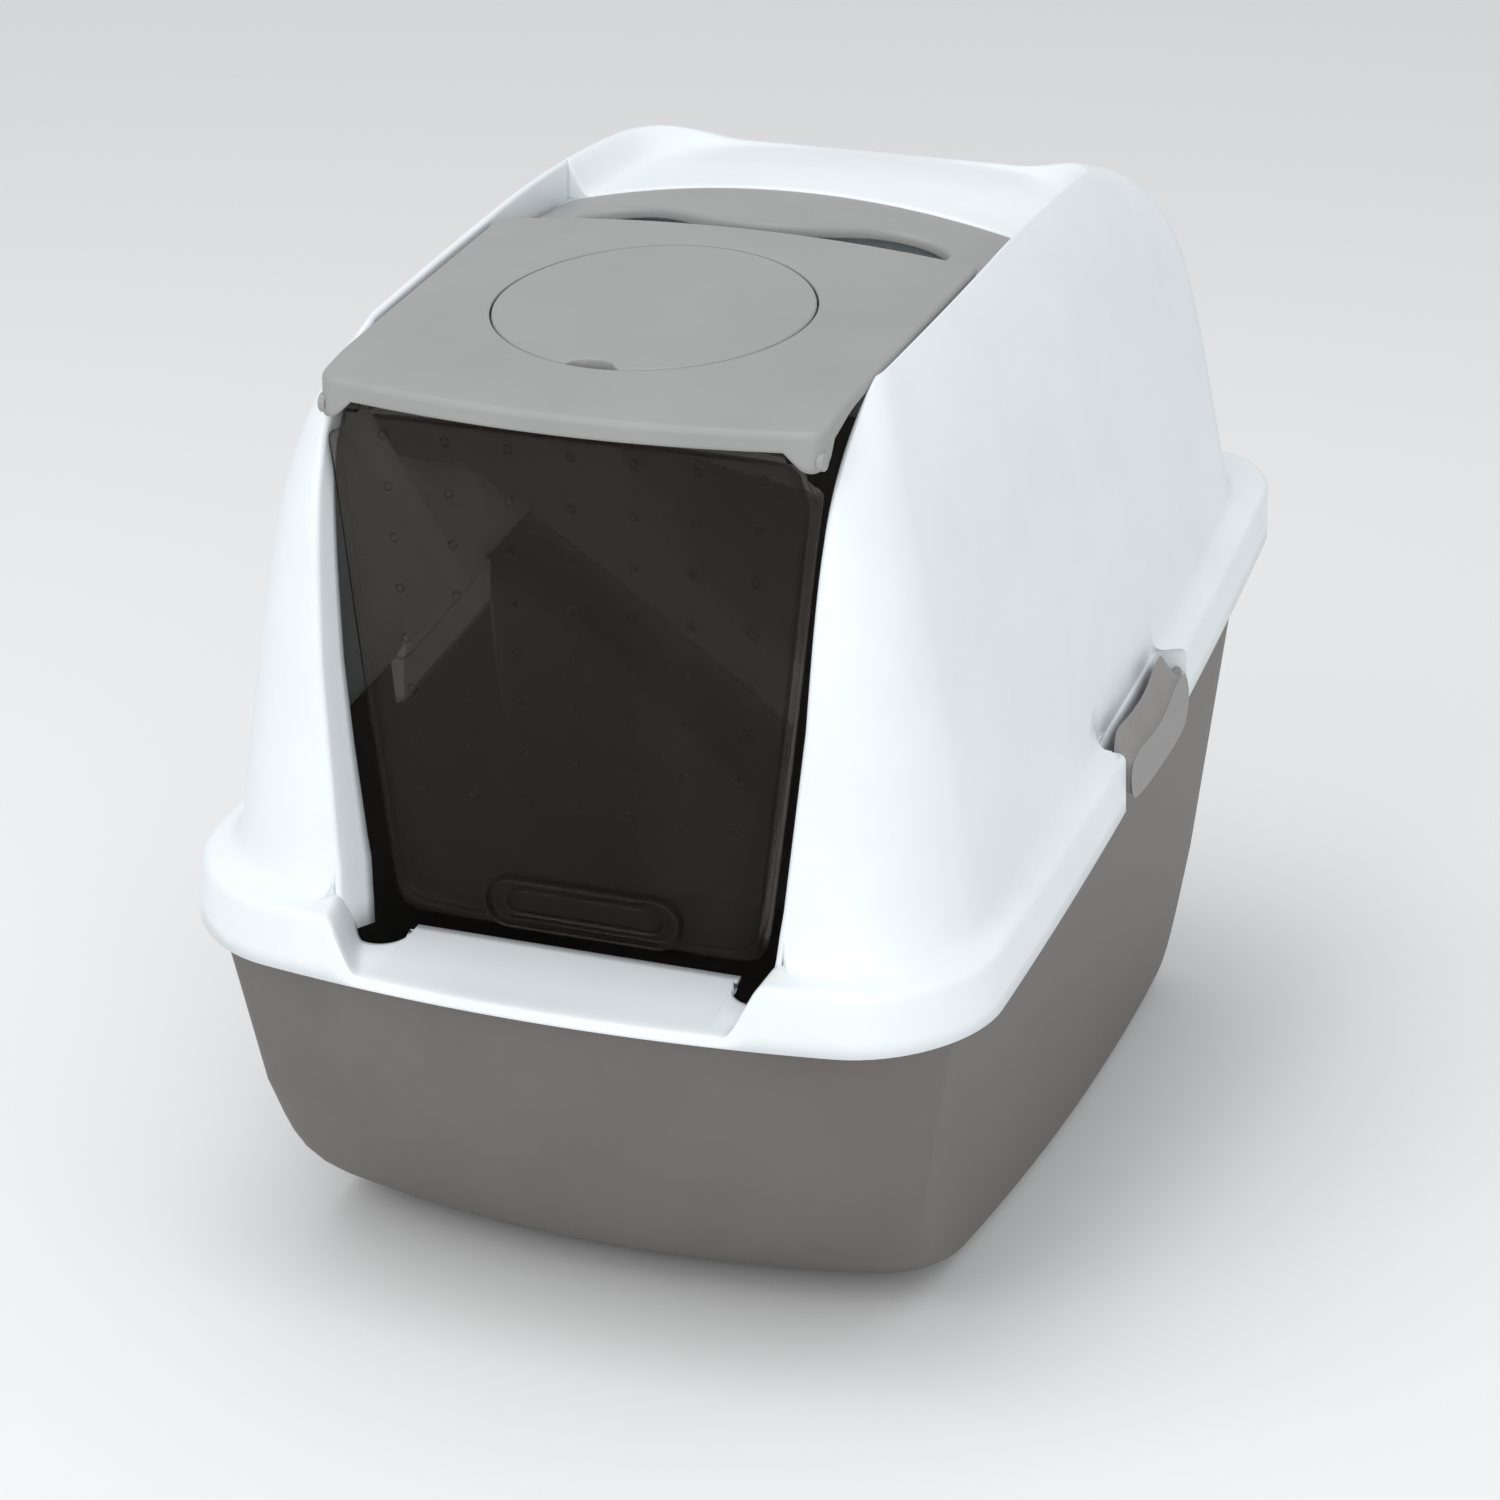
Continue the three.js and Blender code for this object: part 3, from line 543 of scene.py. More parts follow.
def skirt_and_flange(fixed, in_pocket, foot_row):
    """Rows from the skirt's lower edge over its rounded top and along the flange to the wall's foot.

    Each column is a straight line in plan from the skirt to the wall, or in front of the door to
    the sill's rear edge, which ends in a round keyhole at the pillar's foot. Along the line the
    profile is face, quarter round, flat and concave fillet. At the sill the same rows lie almost
    flat, just over the lower edge, and a ramp joins the two."""
    skirt = outline(**SKIRT)
    start = pillar_index(hood_ring(FOOT_H))
    key_x, key_y, key_r = KEYHOLE
    left = key_x - key_r
    sill_x = left * (1 - (1 - np.linspace(0, 1, 24)) ** 1.5)
    a = np.linspace(math.pi, math.pi * 2 - 0.75, 30)
    hole = np.stack([key_x + key_r * np.cos(a), key_y + key_r * np.sin(a)], 1)
    last = foot_row[0, :2]
    bridge = hole[-1] + (last - hole[-1]) * np.linspace(0, 1, 6)[1:-1, None]
    inner = np.concatenate([np.stack([sill_x, np.full(24, SILL_Y)], 1), hole, bridge])
    span = skirt[40, 0] / 40
    k_sill = sill_x / span
    k_hole = np.linspace(k_sill[-1], start, len(hole) + len(bridge) + 2)[1:-1]
    sill_index = np.concatenate([k_sill, k_hole])
    index = np.concatenate([sill_index, np.linspace(start, 56, FRONT_COLUMNS), fixed])
    outer = sample(skirt, index)
    pocketed = np.concatenate([np.zeros(len(index) - len(fixed), bool), in_pocket])
    outer[pocketed, 0] = POCKET_X
    inner = np.concatenate([inner, foot_row[:, :2]])
    sill = np.arange(len(index)) < len(sill_index)

    away = inner - outer
    depth = np.linalg.norm(away, axis=1)
    away = away / depth[:, None]
    fillet = np.clip(depth - 6.5, 1.0, 10.0)
    low_z = np.array([0, 1.2, 2.3, 3.2, 3.9, 4.4, 4.7, 4.9, 5.0, 5.4, 5.9, 6.4, 6.8, 7.1, 7.3, 7.4, 7.4])
    quarter = np.linspace(0, math.pi / 2, 5)[1:]
    face = [(0.0, 0.0), (0.4, 8.0), (0.8, 16.0), (1.2, 24.5)]
    face += [(1.2 + 4.6 * (1 - math.cos(q)), 24.5 + 4.6 * math.sin(q)) for q in quarter]
    flat_rows = np.linspace(0, 1, 5)[1:]
    fillet_rows = np.linspace(0, 1, 6)[1:]
    rows = []
    for r in range(17):
        if r < 8:
            along = np.full(len(index), face[r][0])
            high = np.full(len(index), face[r][1])
            along_sill = along
        elif r < 12:
            f = flat_rows[r - 8]
            along = 5.8 + (depth - fillet - 5.8) * f
            high = 29.1 + 0.14 * (along - 5.8)
            along_sill = 5.8 + (depth - 5.8) * (r - 7) / 9
        else:
            f = fillet_rows[r - 12]
            along = depth - fillet * (1 - f)
            high = 29.1 + 0.14 * (depth - fillet - 5.8)
            along_sill = 5.8 + (depth - 5.8) * (r - 7) / 9
        along = np.where(sill, along_sill, along)
        plan = outer + away * along[:, None]
        t = along / depth
        t_ramp = (plan[:, 0] - RAMP[0] - 11 * t) / (RAMP[1] - RAMP[0] - 8 * t)
        rise = np.where(sill, smooth(0, 1, t_ramp) ** 1.2, 1.0)
        z = rim_z(plan[:, 1]) + low_z[r] * (1 - rise) + high * rise
        if r >= 12:
            base = rim_z(plan[:, 1]) + high
            climb = foot_row_z(foot_row, len(sill_index)) - base
            z = np.where(sill, z, base + climb * (1 - np.sqrt(np.clip(1 - fillet_rows[r - 12] ** 2, 0, 1))))
        if r < 8:
            lining = LATCH_Z - 6.5 + math.tan(LATCH_TILT) * (plan[:, 1] - LATCH_Y)
            z = np.where(pocketed, np.maximum(z, lining), z)
        rows.append(np.column_stack([plan, z]))
    return np.stack(rows), len(sill_index)


def foot_row_z(foot_row, sill_count):
    """Heights of the wall's foot, with the first one repeated along the sill's columns."""
    return np.concatenate([np.full(sill_count, foot_row[0, 2]), foot_row[:, 2]])


def return_direction(path):
    """Unit directions from pillar and crest back into the hood: square to the edge, and slanted
    towards the opening where the edge stands up."""
    run = np.gradient(path, axis=0)
    run /= np.linalg.norm(run, axis=1)[:, None]
    back = np.cross([-1, 0, 0], run)
    back /= np.linalg.norm(back, axis=1)[:, None]
    back = back + 0.3 * run[:, 2:3] ** 2 * [-1, 0, 0]
    return back / np.linalg.norm(back, axis=1)[:, None]


def edge_strip(path, depth, toward, back):
    """Rounded edge along a boundary: a quarter turn of EDGE_R towards the opening, then straight
    back into the part by depth."""
    toward, back = np.array(toward, float), np.array(back, float)
    rows = [path]
    for q in np.linspace(0, math.pi / 2, 6)[1:]:
        rows.append(path + EDGE_R * (math.sin(q) * toward + (1 - math.cos(q)) * back))
    for f in (0.25, 0.5, 0.75, 1.0):
        rows.append(rows[5] + back * (np.asarray(depth)[:, None] * f))
    return grid(np.stack(rows))


def build_hood():
    """Skirt, flange and wall as one grid, the rounded edge of pillar and crest, the roof as rays
    from the crest to the roof's spine, its front lip, and the well under the grip."""
    fixed, in_pocket, lip = side_index()
    heights = np.concatenate([
        np.linspace(FOOT_H, 0.7, 16), np.linspace(0.7, 0.94, 13)[1:], np.linspace(0.94, 1, 9)[1:]])
    wall = np.stack([wall_row(h, fixed) for h in heights])
    lower, sill = skirt_and_flange(fixed, in_pocket, wall[0])
    parts = [grid(lower), grid(wall)]

    lip_column = FRONT_COLUMNS + lip
    foot = wall[0, 0] + np.array([
        [-2.4, -3.4, -30], [-1.6, -2.4, -17], [-0.9, -1.4, -11], [-0.4, -0.6, -5]])
    path = np.concatenate([foot, wall[:, 0], wall[-1, 1:lip_column + 1]])
    up = np.arange(len(path)) < len(foot) + len(heights)
    beside_well = 13 + 21 * smooth(LID_REAR_Y - 3, LID_REAR_Y - 1, path[:, 1])
    depth = np.where(up, np.interp(path[:, 2], [200, 260, 425, 440], [20, 15, 7, 13]), beside_well)
    parts.append(flipped(edge_strip(path, depth, (-1, 0, 0), return_direction(path))))

    crest = wall[-1, lip_column:]
    spine = np.column_stack([np.zeros(len(crest)), np.minimum(crest[:, 1], 118)])
    reach = np.linalg.norm(spine - crest[:, :2], axis=1)
    inwards = (spine - crest[:, :2]) / np.maximum(reach, 1e-6)[:, None]
    rows = []
    for step in (0, 1.5, 3, 4.5, 6, 8, 10, 12, 14, 17, 21, 26):
        rows.append(crest[:, :2] + inwards * np.minimum(step, reach)[:, None])
    start = rows[-1]
    for f in np.linspace(0, 1, 14)[1:]:
        rows.append(start + (spine - start) * f)
    over = crest[:, 2] - roof_z(crest[:, 0], crest[:, 1])
    roof = []
    for flat in rows:
        from_crest = np.linalg.norm(flat - crest[:, :2], axis=1)
        rise = over * (1 - smooth(0, 15, from_crest)) ** 1.3
        roof.append(np.column_stack([flat, roof_z(flat[:, 0], flat[:, 1]) + rise]))
    roof = np.stack(roof)
    parts.append(grid(roof))
    front = roof[1:, 0]
    parts.append(edge_strip(front, front[:, 2] - 432, (0, -1, 0), (0, 0, -1)))

    section = np.array([
        [43.0, 446], [38, 444.5], [30, 441.4], [18, 435.5], [4, 429.6], [-12, 425.6], [-24, 424.5],
        [-35, 424.4], [-37.2, 425.4], [-37.8, 428], [-37.8, 438.6], [-39, 440], [-45, 440],
        [-46.2, 438.8], [-46.2, 430]])
    across = np.array([0, 60, 120.0])
    well = np.array([[[x, y, z] for x in across] for y, z in section])
    parts.append(grid(well))
    return make_piece("hood", both_sides(parts), HOOD_PLASTIC, "hood", ["hood_shell"],
                      wall=2.4, crease=40, facing=((175, 50, 300), (1, 0, 0)))


# ---- carrying grip ----
def bezier(points, count=24):
    """Cubic Bezier curve through its four control points."""
    p0, p1, p2, p3 = (np.array(p, float) for p in points)
    t = np.linspace(0, 1, count)[:, None]
    return (1 - t) ** 3 * p0 + 3 * (1 - t) ** 2 * t * p1 + 3 * (1 - t) * t ** 2 * p2 + t ** 3 * p3


def grip_z(x, y):
    """Grip surface: follows the roof's lip, and has a shallow thumb dish in the middle."""
    dish = 1.3 * np.exp(-((x - 10) / 42) ** 2 - ((y - 26) / 7.5) ** 2)
    top = roof_z(x, 46) - 0.4 + 0.045 * (y - 43) + 0.036 * (x / 105) ** 2 * (43 - y)
    return top - dish


def build_grip():
    """Plate between the slot's wavy edge and an outer line along lip and side. The slot's edge
    rolls down by a quarter round into a short skirt."""
    roll, drop = 3.4, 3.0
    wave = [bezier([(0, -17), (20, -17), (32, -10), (48, -1)]),
            bezier([(48, -1), (64, 8), (92, 5), (92, -14)])[1:],
            np.array([(92, -20), (92, -27), (92, -34)], float)]
    slot = resample(np.concatenate(wave), 90)
    run = np.gradient(slot, axis=0)
    run /= np.linalg.norm(run, axis=1)[:, None]
    into = np.stack([run[:, 1], -run[:, 0]], 1)
    into[0] = (0, -1)
    inner = slot - into * roll
    edge = np.array([
        (0, 42.2), (58, 42.2), (100, 42.2), (114.5, 42.2), (117.4, 39.5), (117.6, 10), (117.6, -34)])
    matched = np.interp(np.linspace(0, 1, 90), [0, 0.42, 0.72, 0.8, 0.83, 0.92, 1], arc_lengths(edge))
    outer = np.stack([np.interp(matched, arc_lengths(edge), edge[:, k]) for k in (0, 1)], 1)
    inner[0, 0] = 0
    rows = []
    for d in (2.0, 1.0, 0.0):
        rows.append(np.column_stack([slot, grip_z(inner[:, 0], inner[:, 1]) - roll - d]))
    for q in np.linspace(math.pi / 2, 0, 7)[1:]:
        flat = inner + into * roll * math.sin(q)
        rows.append(np.column_stack([flat, grip_z(inner[:, 0], inner[:, 1]) - roll * (1 - math.cos(q))]))
    for f in np.linspace(0, 1, 15)[1:]:
        flat = inner + (outer - inner) * f
        rows.append(np.column_stack([flat, grip_z(flat[:, 0], flat[:, 1])]))
    rows[-1][:, 2] -= 0.5
    rows.append(rows[-1] - [0, 0, drop])
    parts = both_sides([grid(np.stack(rows))])
    return make_piece("grip", parts, GREY_PLASTIC, "hood", ["carry_handle"],
                      wall=2.2, crease=40, facing=((30, 30, 458), (0, 0, 1)))


# ---- lid and cover ----
def lid_outline():
    """Closed plan of the lid: straight sides, bowed front, round front corners."""
    radius = 10.0
    corner_x = LID_HALF_FRONT - radius
    x = np.linspace(0, corner_x, 30)
    front = np.stack([x, LID_FRONT_Y - 8 * (1 - (x / corner_x) ** 2)], 1)
    a = np.linspace(-math.pi / 2, 0, 10)[1:]
    corner = np.stack([corner_x + radius * np.cos(a), LID_FRONT_Y + radius + radius * np.sin(a)], 1)
    b = np.linspace(0, math.pi / 2, 6)
    rear_corner = np.stack([LID_HALF_REAR - 3 + 3 * np.cos(b), LID_REAR_Y - 3 + 3 * np.sin(b)], 1)
    side = corner[-1] + (rear_corner[0] - corner[-1]) * np.linspace(0, 1, 50)[1:-1, None]
    rear = np.stack([np.linspace(LID_HALF_REAR - 3, 0, 30)[1:], np.full(29, LID_REAR_Y)], 1)
    right = np.concatenate([front, corner, side, rear_corner, rear])
    return np.concatenate([right, (right * [-1, 1])[-2:0:-1]])


def inset(points, by):
    """Closed outline moved inwards along its normals."""
    run = np.roll(points, -1, 0) - np.roll(points, 1, 0)
    run /= np.linalg.norm(run, axis=1)[:, None]
    return points + by * np.stack([-run[:, 1], run[:, 0]], 1)


def lift_to(flat, height, down=0.0):
    """Plan points raised to a surface height(x, y), or down millimetres below it."""
    return np.column_stack([flat, height(flat[:, 0], flat[:, 1]) - down])


def build_lid():
    """Polar grid from the round hole to the outline, then a rolled rim. The rim's lip is deeper in
    front, and grows into a round-ended tab at each front corner."""
    edge = lid_outline()
    angle = np.arctan2(edge[:, 1] - COVER_Y, edge[:, 0])
    hole = lambda r: np.stack([r * np.cos(angle), COVER_Y + r * math.cos(LID_TILT) * np.sin(angle)], 1)
    rim = 2.6
    rows = [lift_to(hole(COVER_R + 1.1), lid_top_z, 3.4), lift_to(hole(COVER_R + 0.75), lid_top_z, 0.7),
            lift_to(hole(COVER_R + 1.0), lid_top_z, 0.2), lift_to(hole(COVER_R + 1.6), lid_top_z)]
    start = hole(COVER_R + 1.6)
    end = inset(edge, rim)
    for f in np.linspace(0, 1, 18)[1:]:
        rows.append(lift_to(start + (end - start) * f, lid_top_z))
    for q in np.linspace(0, math.pi / 2, 6)[1:]:
        flat = inset(edge, rim * (1 - math.sin(q)))
        rows.append(lift_to(flat, lid_top_z, rim * (1 - math.cos(q))))
    corner = np.stack([np.abs(edge[:, 0]) - LID_HALF_FRONT + 4.5, edge[:, 1] - LID_FRONT_Y - 3], 1)
    near = np.clip(1 - np.linalg.norm(corner, axis=1) / 11, 0, 1)
    depth = 1.0 + 4.4 * smooth(-205, -240, edge[:, 1]) + 9 * np.sqrt(np.sin(near * math.pi / 2))
    for f in (0.25, 0.5, 0.75, 1.0):
        rows.append(lift_to(edge, lid_top_z, rim) - np.column_stack([np.zeros((len(edge), 2)), depth * f]))
    parts = [flipped(grid(np.stack(rows), closed=True))]
    return make_piece("lid", parts, GREY_PLASTIC, "lid", ["top_lid"], wall=2.0, crease=38,
                      facing=((100, -150, 445), (0, 0, 1)))


def build_lid_pins():
    """Rear hinge knuckles and pegs of the lid, and the front ears that the door hangs in."""
    parts = []
    for side in (-1, 1):
        parts.append(tube((side * 110, -50, 450.5), (side * 117.4, -50, 450.5), 3.6, 24))
        parts.append(tube((side * 116, -50, 450.5), (side * 122.2, -50, 450.5), 2.2, 20))
        parts.append(tube((side * 111.8, -243.5, 416), (side * 115, -243.5, 416), 4.4, 24))
    return make_piece("lid_pins", parts, GREY_PLASTIC, "lid", (), crease=40)


def build_cover():
    """Round cover: polar grid with a rolled edge. A finger notch is cut into its front edge, as a
    half ellipse taken off the radius."""
    angle = np.linspace(0, 2 * math.pi, 241)[:-1]
    from_notch = (angle - math.radians(269)) * COVER_R / 11.0
    notch = 8.0 * np.sqrt(np.clip(1 - from_notch ** 2, 0, 1))

    def ring(r, back=0.0):
        """Circle of radius r that follows the notch once it is near the edge."""
        near = smooth(40, COVER_R, r)
        reach = r - (notch * near + back)
        return np.stack([reach * np.cos(angle), COVER_Y + reach * math.cos(LID_TILT) * np.sin(angle)], 1)

    rows = [lift_to(ring(r), lid_top_z) for r in (0, 8, 20, 32, 44, 52, 58, 63, 67, 69.5, COVER_R - 1.2)]
    for back, down in ((0.6, 0.12), (0.2, 0.45), (0, 1.0), (0, 3.5), (0, 6.4), (2.2, 6.4)):
        rows.append(lift_to(ring(COVER_R, back), lid_top_z, down))
    parts = [grid(np.stack(rows), closed=True)]
    return make_piece("cover", parts, GREY_PLASTIC, "cover", ["filter_cover"],
                      wall=0.8, crease=35, facing=((30, -140, 448), (0, 0, 1)))


# ---- filter ----
def tilted(points):
    """Places points given about the cover's centre: turned by the lid's slope and moved there."""
    c, s = math.cos(LID_TILT), math.sin(LID_TILT)
    x, y, z = points[..., 0], points[..., 1], points[..., 2]
    height = float(lid_edge_z(COVER_Y)) + 2
    return np.stack([x, COVER_Y + y * c - z * s, height + y * s + z * c], -1)


def build_filter():
    """Foam disc with soft, slightly wavy faces."""
    angle = np.linspace(0, 2 * math.pi, 97)[:-1]
    profile = [(0, -15.4), (20, -15.3), (40, -15.2), (58, -15), (64, -14.6), (66, -13.4), (66.3, -11.5),
               (66, -9.2), (64, -7.6), (58, -7), (40, -6.8), (20, -6.6), (0, -6.6)]
    rows = []
    for r, z in profile:
        wave = 0.25 * np.sin(5 * angle + r / 9) * min(1, r / 40)
        rows.append(np.stack([r * np.cos(angle), r * np.sin(angle), z + wave], 1))
    parts = [grid(tilted(np.stack(rows)), closed=True)]
    pad = make_piece("filter_pad", parts, FOAM, "filter", ["carbon_filter"], crease=60,
                     facing=((0, -146, 438), (0, 0, 1)))
    return pad


# ---- swing door ----
DOOR_HALF = np.array([
    [0, DOOR_BOTTOM_Z], [70, DOOR_BOTTOM_Z], [80, 180.3], [85.5, 182], [88.6, 187], [90, 195], [93.6, 225],
    [101.5, 290], [110, 372], [113, 396], [113.6, 400.5], [111.6, 403.2], [108, 404.2], [105.6, 406.6],
    [105.2, 410], [105.2, 415], [103.6, 417.6], [101, 418], [0, 418],
])


DOOR_FIELD_HALF = np.array([
    [0, 189], [74, 189], [81, 195], [84.6, 225], [92.5, 290], [101, 372], [103.4, 394], [97, 407], [88, 409],
    [0, 409],
])
DOOR_BORDER = 9.0


def door_point(x, z, out):
    """Point on the leaning door, out millimetres in front of its front face."""
    return np.stack([x, -242 + DOOR_LEAN * (404 - z) - out, z], -1)


def door_ring(half, count=150):
    """Closed outline from its right half, anticlockwise, with its corners cut round."""
    right = resample(rounded(half, 2), count)
    return np.concatenate([right, (right * [-1, 1])[-2:0:-1]])


def build_door():
    """Clear panel: rings from the rounded edge to the flat field, blended between the two outlines,
    with two ribs along the border. The field and the back are flat."""
    edge, field = door_ring(DOOR_HALF), door_ring(DOOR_FIELD_HALF)
    profile = [(0.0, -1.2), (0.3, -0.4), (0.9, 0.0), (2.6, 0.0), (3.0, 0.9), (3.6, 1.3), (4.3, 1.0),
               (4.8, 0.1), (5.4, 0.1), (5.8, 0.8), (6.4, 1.1), (7.0, 0.8), (7.5, 0.0), (DOOR_BORDER, 0.0)]
    ring = lambda step: (edge + (field - edge) * step / DOOR_BORDER).T
    rows = [door_point(*ring(step), out) for step, out in profile]
    back = [door_point(*ring(0.9), -DOOR_THICK), door_point(*ring(0.2), -DOOR_THICK + 0.4), rows[0]]
    parts = [grid(np.stack(rows), closed=True), grid(np.stack(back), closed=True)]
    parts += [flat_cap(rows[-1]), flat_cap(back[0])]
    parts += door_dimples() + door_pull()
    for side in (-1, 1):
        parts.append(tube((side * 98, *DOOR_AXIS), (side * 110.8, *DOOR_AXIS), 3.0, 24))
        parts.append(tube((side * 109, *DOOR_AXIS), (side * 114.4, *DOOR_AXIS), 2.2, 20))
    return make_piece("door", parts, DOOR_PLASTIC, "door", ["swing_door"], crease=40,
                      facing=((0, -236, 300), (0, -1, 0)))


def door_dimples():
    """Seven columns of eight small raised rings that fan out towards the top."""
    parts = []
    around = np.linspace(0, 2 * math.pi, 15)[:-1]
    across = np.linspace(0, 2 * math.pi, 7)[:-1]
    for row in range(8):
        z = 404 - row * 23.2
        spread = np.interp(z, [244, 351, 404], [73.5, 83, 87])
        for column in range(7):
            x = spread * (column - 3) / 3
            r = 1.9 + 0.42 * np.cos(across)[:, None]
            points = door_point(x + r * np.cos(around), z + r * np.sin(around),
                                0.05 + 0.34 * np.sin(across)[:, None] + 0 * around)
            closed = np.concatenate([points, points[:1]])
            parts.append(flipped(grid(closed, closed=True)))
    return parts


def stadium(half_length, radius, count=24):
    """Two half circles joined by straight lines."""
    a = np.linspace(-math.pi / 2, math.pi / 2, count)
    right = np.stack([half_length + radius * np.cos(a), radius * np.sin(a)], 1)
    return np.concatenate([right, -right])


def door_pull():
    """Raised grip of two stadium-shaped rings, one inside the other: a tall outer rib and a lower
    inner one."""
    centre = np.array([2.0, 192.5])
    parts = []
    sections = [
        (35, 12.4, [(0, 0.0), (0.3, 3.2), (0.9, 4.2), (1.7, 4.2), (2.3, 3.4), (2.8, 0.6), (4.0, 0.3)]),
        (31, 6.6, [(0, 0.0), (0.3, 1.6), (0.9, 2.1), (1.6, 1.6), (2.0, 0.2)]),
    ]
    for half_length, radius, profile in sections:
        rows = []
        for step, out in profile:
            flat = stadium(half_length, radius - step) + centre
            rows.append(door_point(flat[:, 0], flat[:, 1], out))
        base = stadium(half_length, radius - profile[-1][0]) + centre
        floor = door_point(base[:, 0], base[:, 1], -0.6)
        under = door_point(*(stadium(half_length, radius) + centre).T, -0.6)
        parts.append(flipped(grid(np.stack(rows + [floor, under, rows[0]]), closed=True)))
    return parts


# ---- latches ----
LATCH_OUTLINE = np.array([
    [-44, -9], [-50, -3], [-52, 5], [-49.5, 12], [-42.5, 16.5], [-30, 14], [-14, 11.4], [2, 10.2], [16, 13],
    [27.4, 17], [38, 14.5], [47, 4], [49.6, -6], [46, -14], [38, -17.5], [0, -15.2],
])


def build_latch(side):
    """Rocker latch: an outline carried across its thickness with rounded edges. Its finger face on
    top slopes down outwards and has fine cross ribs."""
    soft = rounded(LATCH_OUTLINE, 3, True)
    edge = resample(np.concatenate([soft, soft[:1]]), 361)[:-1]
    s, n = edge.T
    on_top = smooth(6, 9, n) * smooth(-50, -44, s) * smooth(42, 34, s)
    ribs = 0.45 * np.cos(s * 2 * math.pi / 2.6) * smooth(-34, -28, s) * smooth(20, 14, s) * (n > 6)
    middle = np.array([-1.0, 0.0])
    stations = [(0.0, 0.0, None), (0.0, 0.5, None), (0.0, 0.94, None), (0.0, 1.0, 1.6), (0.25, 1.0, 0.8),
                (0.8, 1.0, 0.25), (1.6, 1.0, 0.0), (2.4, 1.0, 0.0), (4, 1.0, 0.0), (6, 1.0, 0.0),
                (8, 1.0, 0.0), (9.2, 1.0, 0.2), (LATCH_THICK, 1.0, 1.0), (LATCH_THICK, 0.9, None),
                (LATCH_THICK, 0.0, None)]
    rows = []
    for deep, size, inward in stations:
        flat = middle + (inset(edge, 1.6) - middle) * size if inward is None else inset(edge, inward)
        raised = (11.5 * min(deep / 9, 1) ** 1.4 - 3.5) * on_top * size
        ribbed = ribs if inward is not None and 2 < deep < 9 else 0
        across = np.full(len(flat), LATCH_OUT - deep)
        rows.append(np.stack([across, flat[:, 0], flat[:, 1] + raised + ribbed], 1))
    grid_points = np.stack(rows)
    c, t = math.cos(LATCH_TILT), math.sin(LATCH_TILT)
    x, along, up = (grid_points[..., k] for k in range(3))
    placed = np.stack([side * x, LATCH_Y + along * c - up * t, LATCH_Z + along * t + up * c], -1)
    name, body = ("left_latch", "latch_left") if side < 0 else ("right_latch", "latch_right")
    parts = [grid(placed, closed=True)]
    pivot_y, pivot_z = LATCH_Y - 7 * t, LATCH_Z + 7 * c
    for end in (-1, 1):
        a, b = end * 46, end * (53 if end > 0 else 56)
        parts.append(tube((side * 188.5, pivot_y + a * c, pivot_z + a * t),
                          (side * 188.5, pivot_y + b * c, pivot_z + b * t), 2.2))
    return make_piece("latch_" + name[:-6], parts, LATCH_PLASTIC, body, [name], crease=50,
                      facing=((side * 195, 28, 214), (side, 0, 0)))


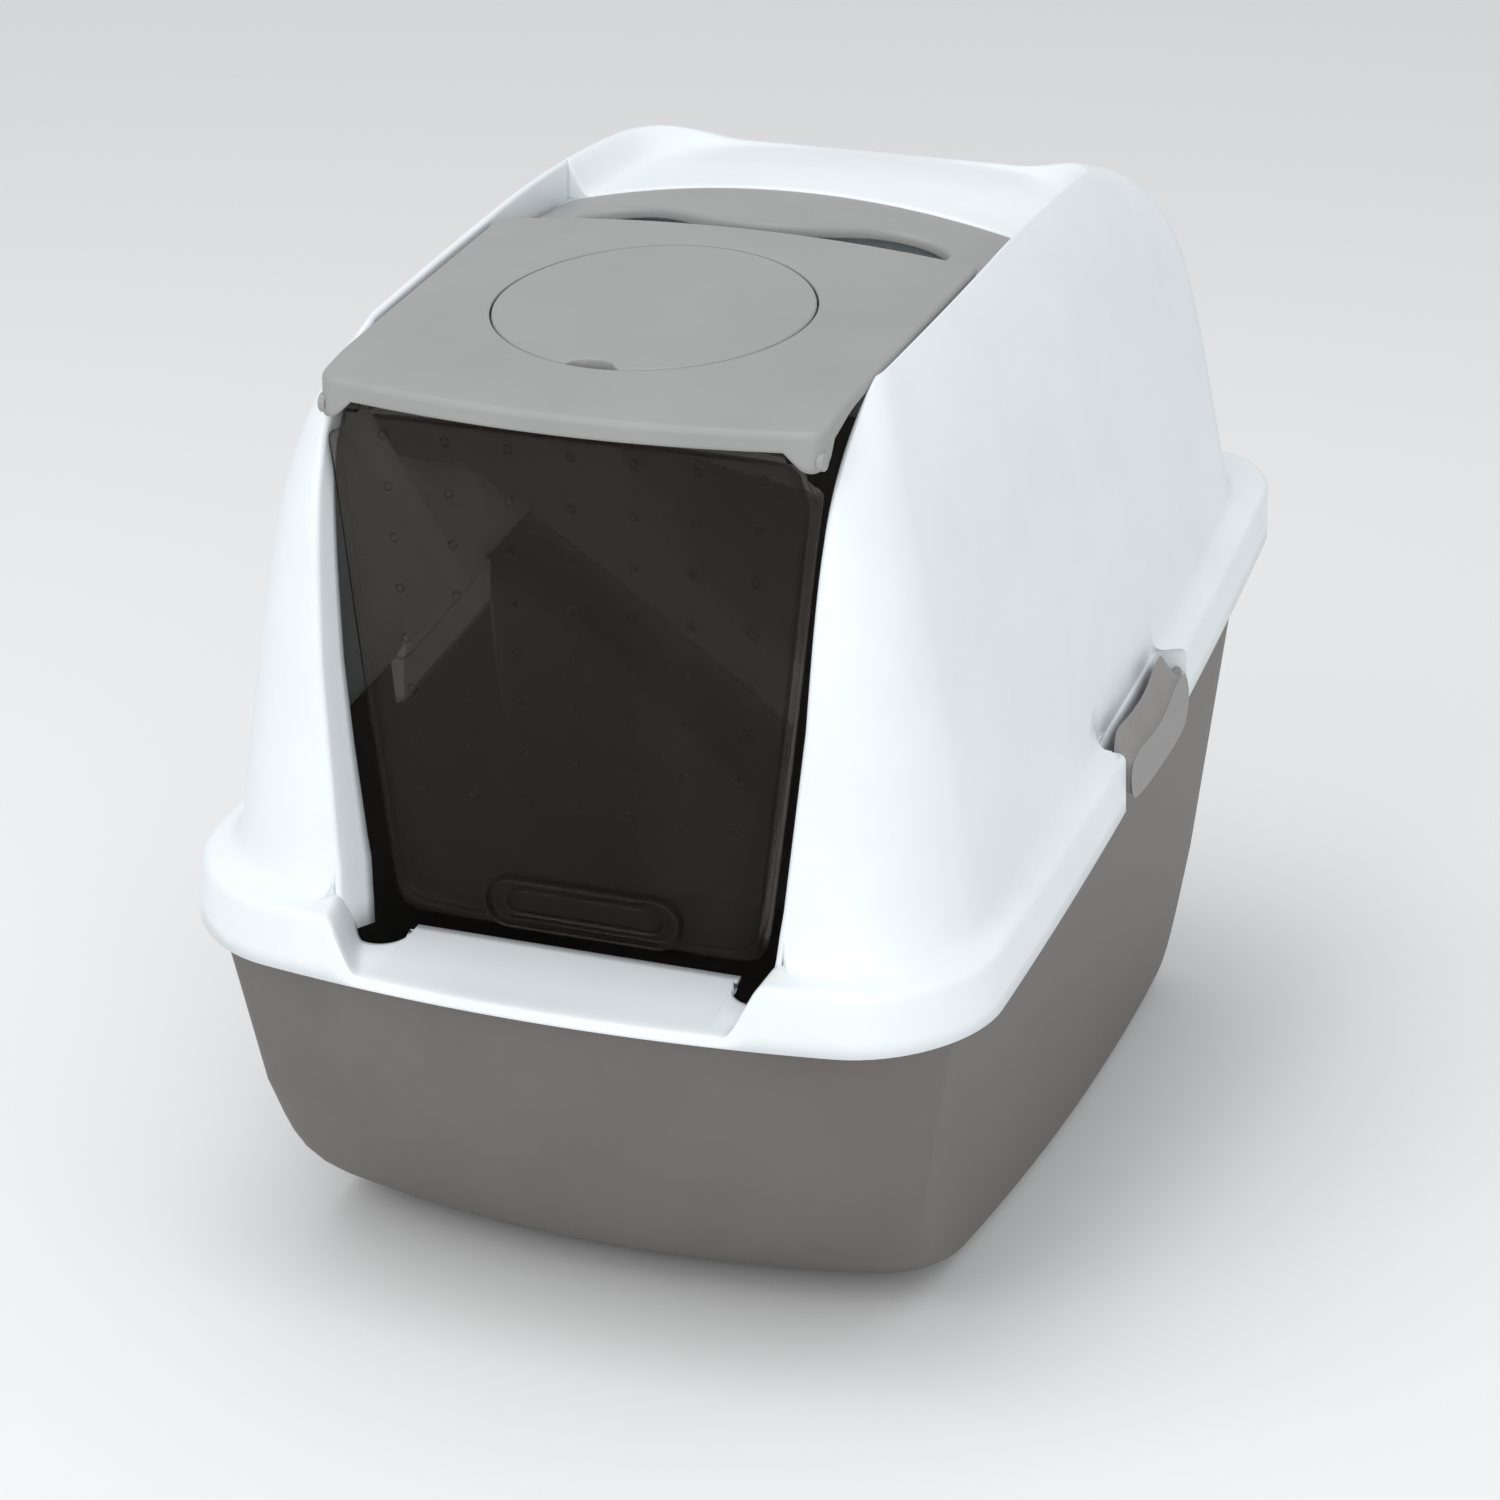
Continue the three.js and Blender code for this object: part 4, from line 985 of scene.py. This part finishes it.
# ---- stage ----
def build_stage():
    """Pale floor, soft studio light and the camera."""
    mesh = bpy.data.meshes.new("floor")
    size = 6.0
    corners = [(-size, -size, 0), (size, -size, 0), (size, size, 0), (-size, size, 0)]
    mesh.from_pydata(corners, [], [(0, 1, 2, 3)])
    floor = bpy.data.objects.new("floor", mesh)
    bpy.context.scene.collection.objects.link(floor)
    material, tree = new_material("pale_floor")
    shader = add(tree, "ShaderNodeBsdfPrincipled", {"Base Color": linear("f4f4f4"), "Roughness": 0.9})
    add(tree, "ShaderNodeOutputMaterial", {}, {"Surface": (shader, "BSDF")})
    mesh.materials.append(material)

    world = bpy.data.worlds.new("studio")
    world.use_nodes = True
    world.node_tree.nodes["Background"].inputs["Color"].default_value = (0.96, 0.98, 1.0, 1)
    world.node_tree.nodes["Background"].inputs["Strength"].default_value = 0.68
    bpy.context.scene.world = world
    bpy.context.scene.view_settings.view_transform = "Standard"
    lamps = [
        ("key", (1.3, -2.5, 1.0), (0, 0, 0.25), 1.0, 15),
        ("front", (-0.7, -2.4, 2.0), (0, 0, 0.25), 1.4, 13),
        ("top", (-0.4, -0.5, 2.9), (0, 0, 0.3), 1.8, 22),
    ]
    for name, place, target, width, watts in lamps:
        light = bpy.data.lights.new(name, "AREA")
        light.energy = watts
        light.size = width
        lamp = bpy.data.objects.new(name, light)
        bpy.context.scene.collection.objects.link(lamp)
        back = np.array(place) - np.array(target)
        back /= np.linalg.norm(back)
        right = np.cross([0, 0, 1], back)
        right /= np.linalg.norm(right)
        up = np.cross(back, right)
        lamp.matrix_world = Matrix([[right[k], up[k], back[k], place[k]] for k in range(3)] + [[0, 0, 0, 1]])

    azimuth, elevation, roll = math.radians(19.95), math.radians(20.15), math.radians(1.0)
    back = np.array([math.sin(azimuth) * math.cos(elevation), -math.cos(azimuth) * math.cos(elevation),
                     math.sin(elevation)])
    level = np.array([math.cos(azimuth), math.sin(azimuth), 0])
    above = np.cross(back, level)
    right = level * math.cos(roll) + above * math.sin(roll)
    up = above * math.cos(roll) - level * math.sin(roll)
    place = np.array([0, 0, 0.230]) + back * 2.0605 - right * 0.00502 - up * 0.03724
    camera = bpy.data.cameras.new("camera")
    camera.lens = 101.5
    camera.sensor_width = 36
    viewer = bpy.data.objects.new("camera", camera)
    bpy.context.scene.collection.objects.link(viewer)
    viewer.matrix_world = Matrix([[right[k], up[k], back[k], place[k]] for k in range(3)] + [[0, 0, 0, 1]])
    bpy.context.scene.camera = viewer


build_pan()
build_hood()
build_grip()
build_lid()
build_lid_pins()
build_cover()
build_filter()
build_door()
build_latch(-1)
build_latch(1)
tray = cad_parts["filter_tray"]
tray.data.materials.clear()
tray.data.materials.append(TRAY_PLASTIC)
build_stage()
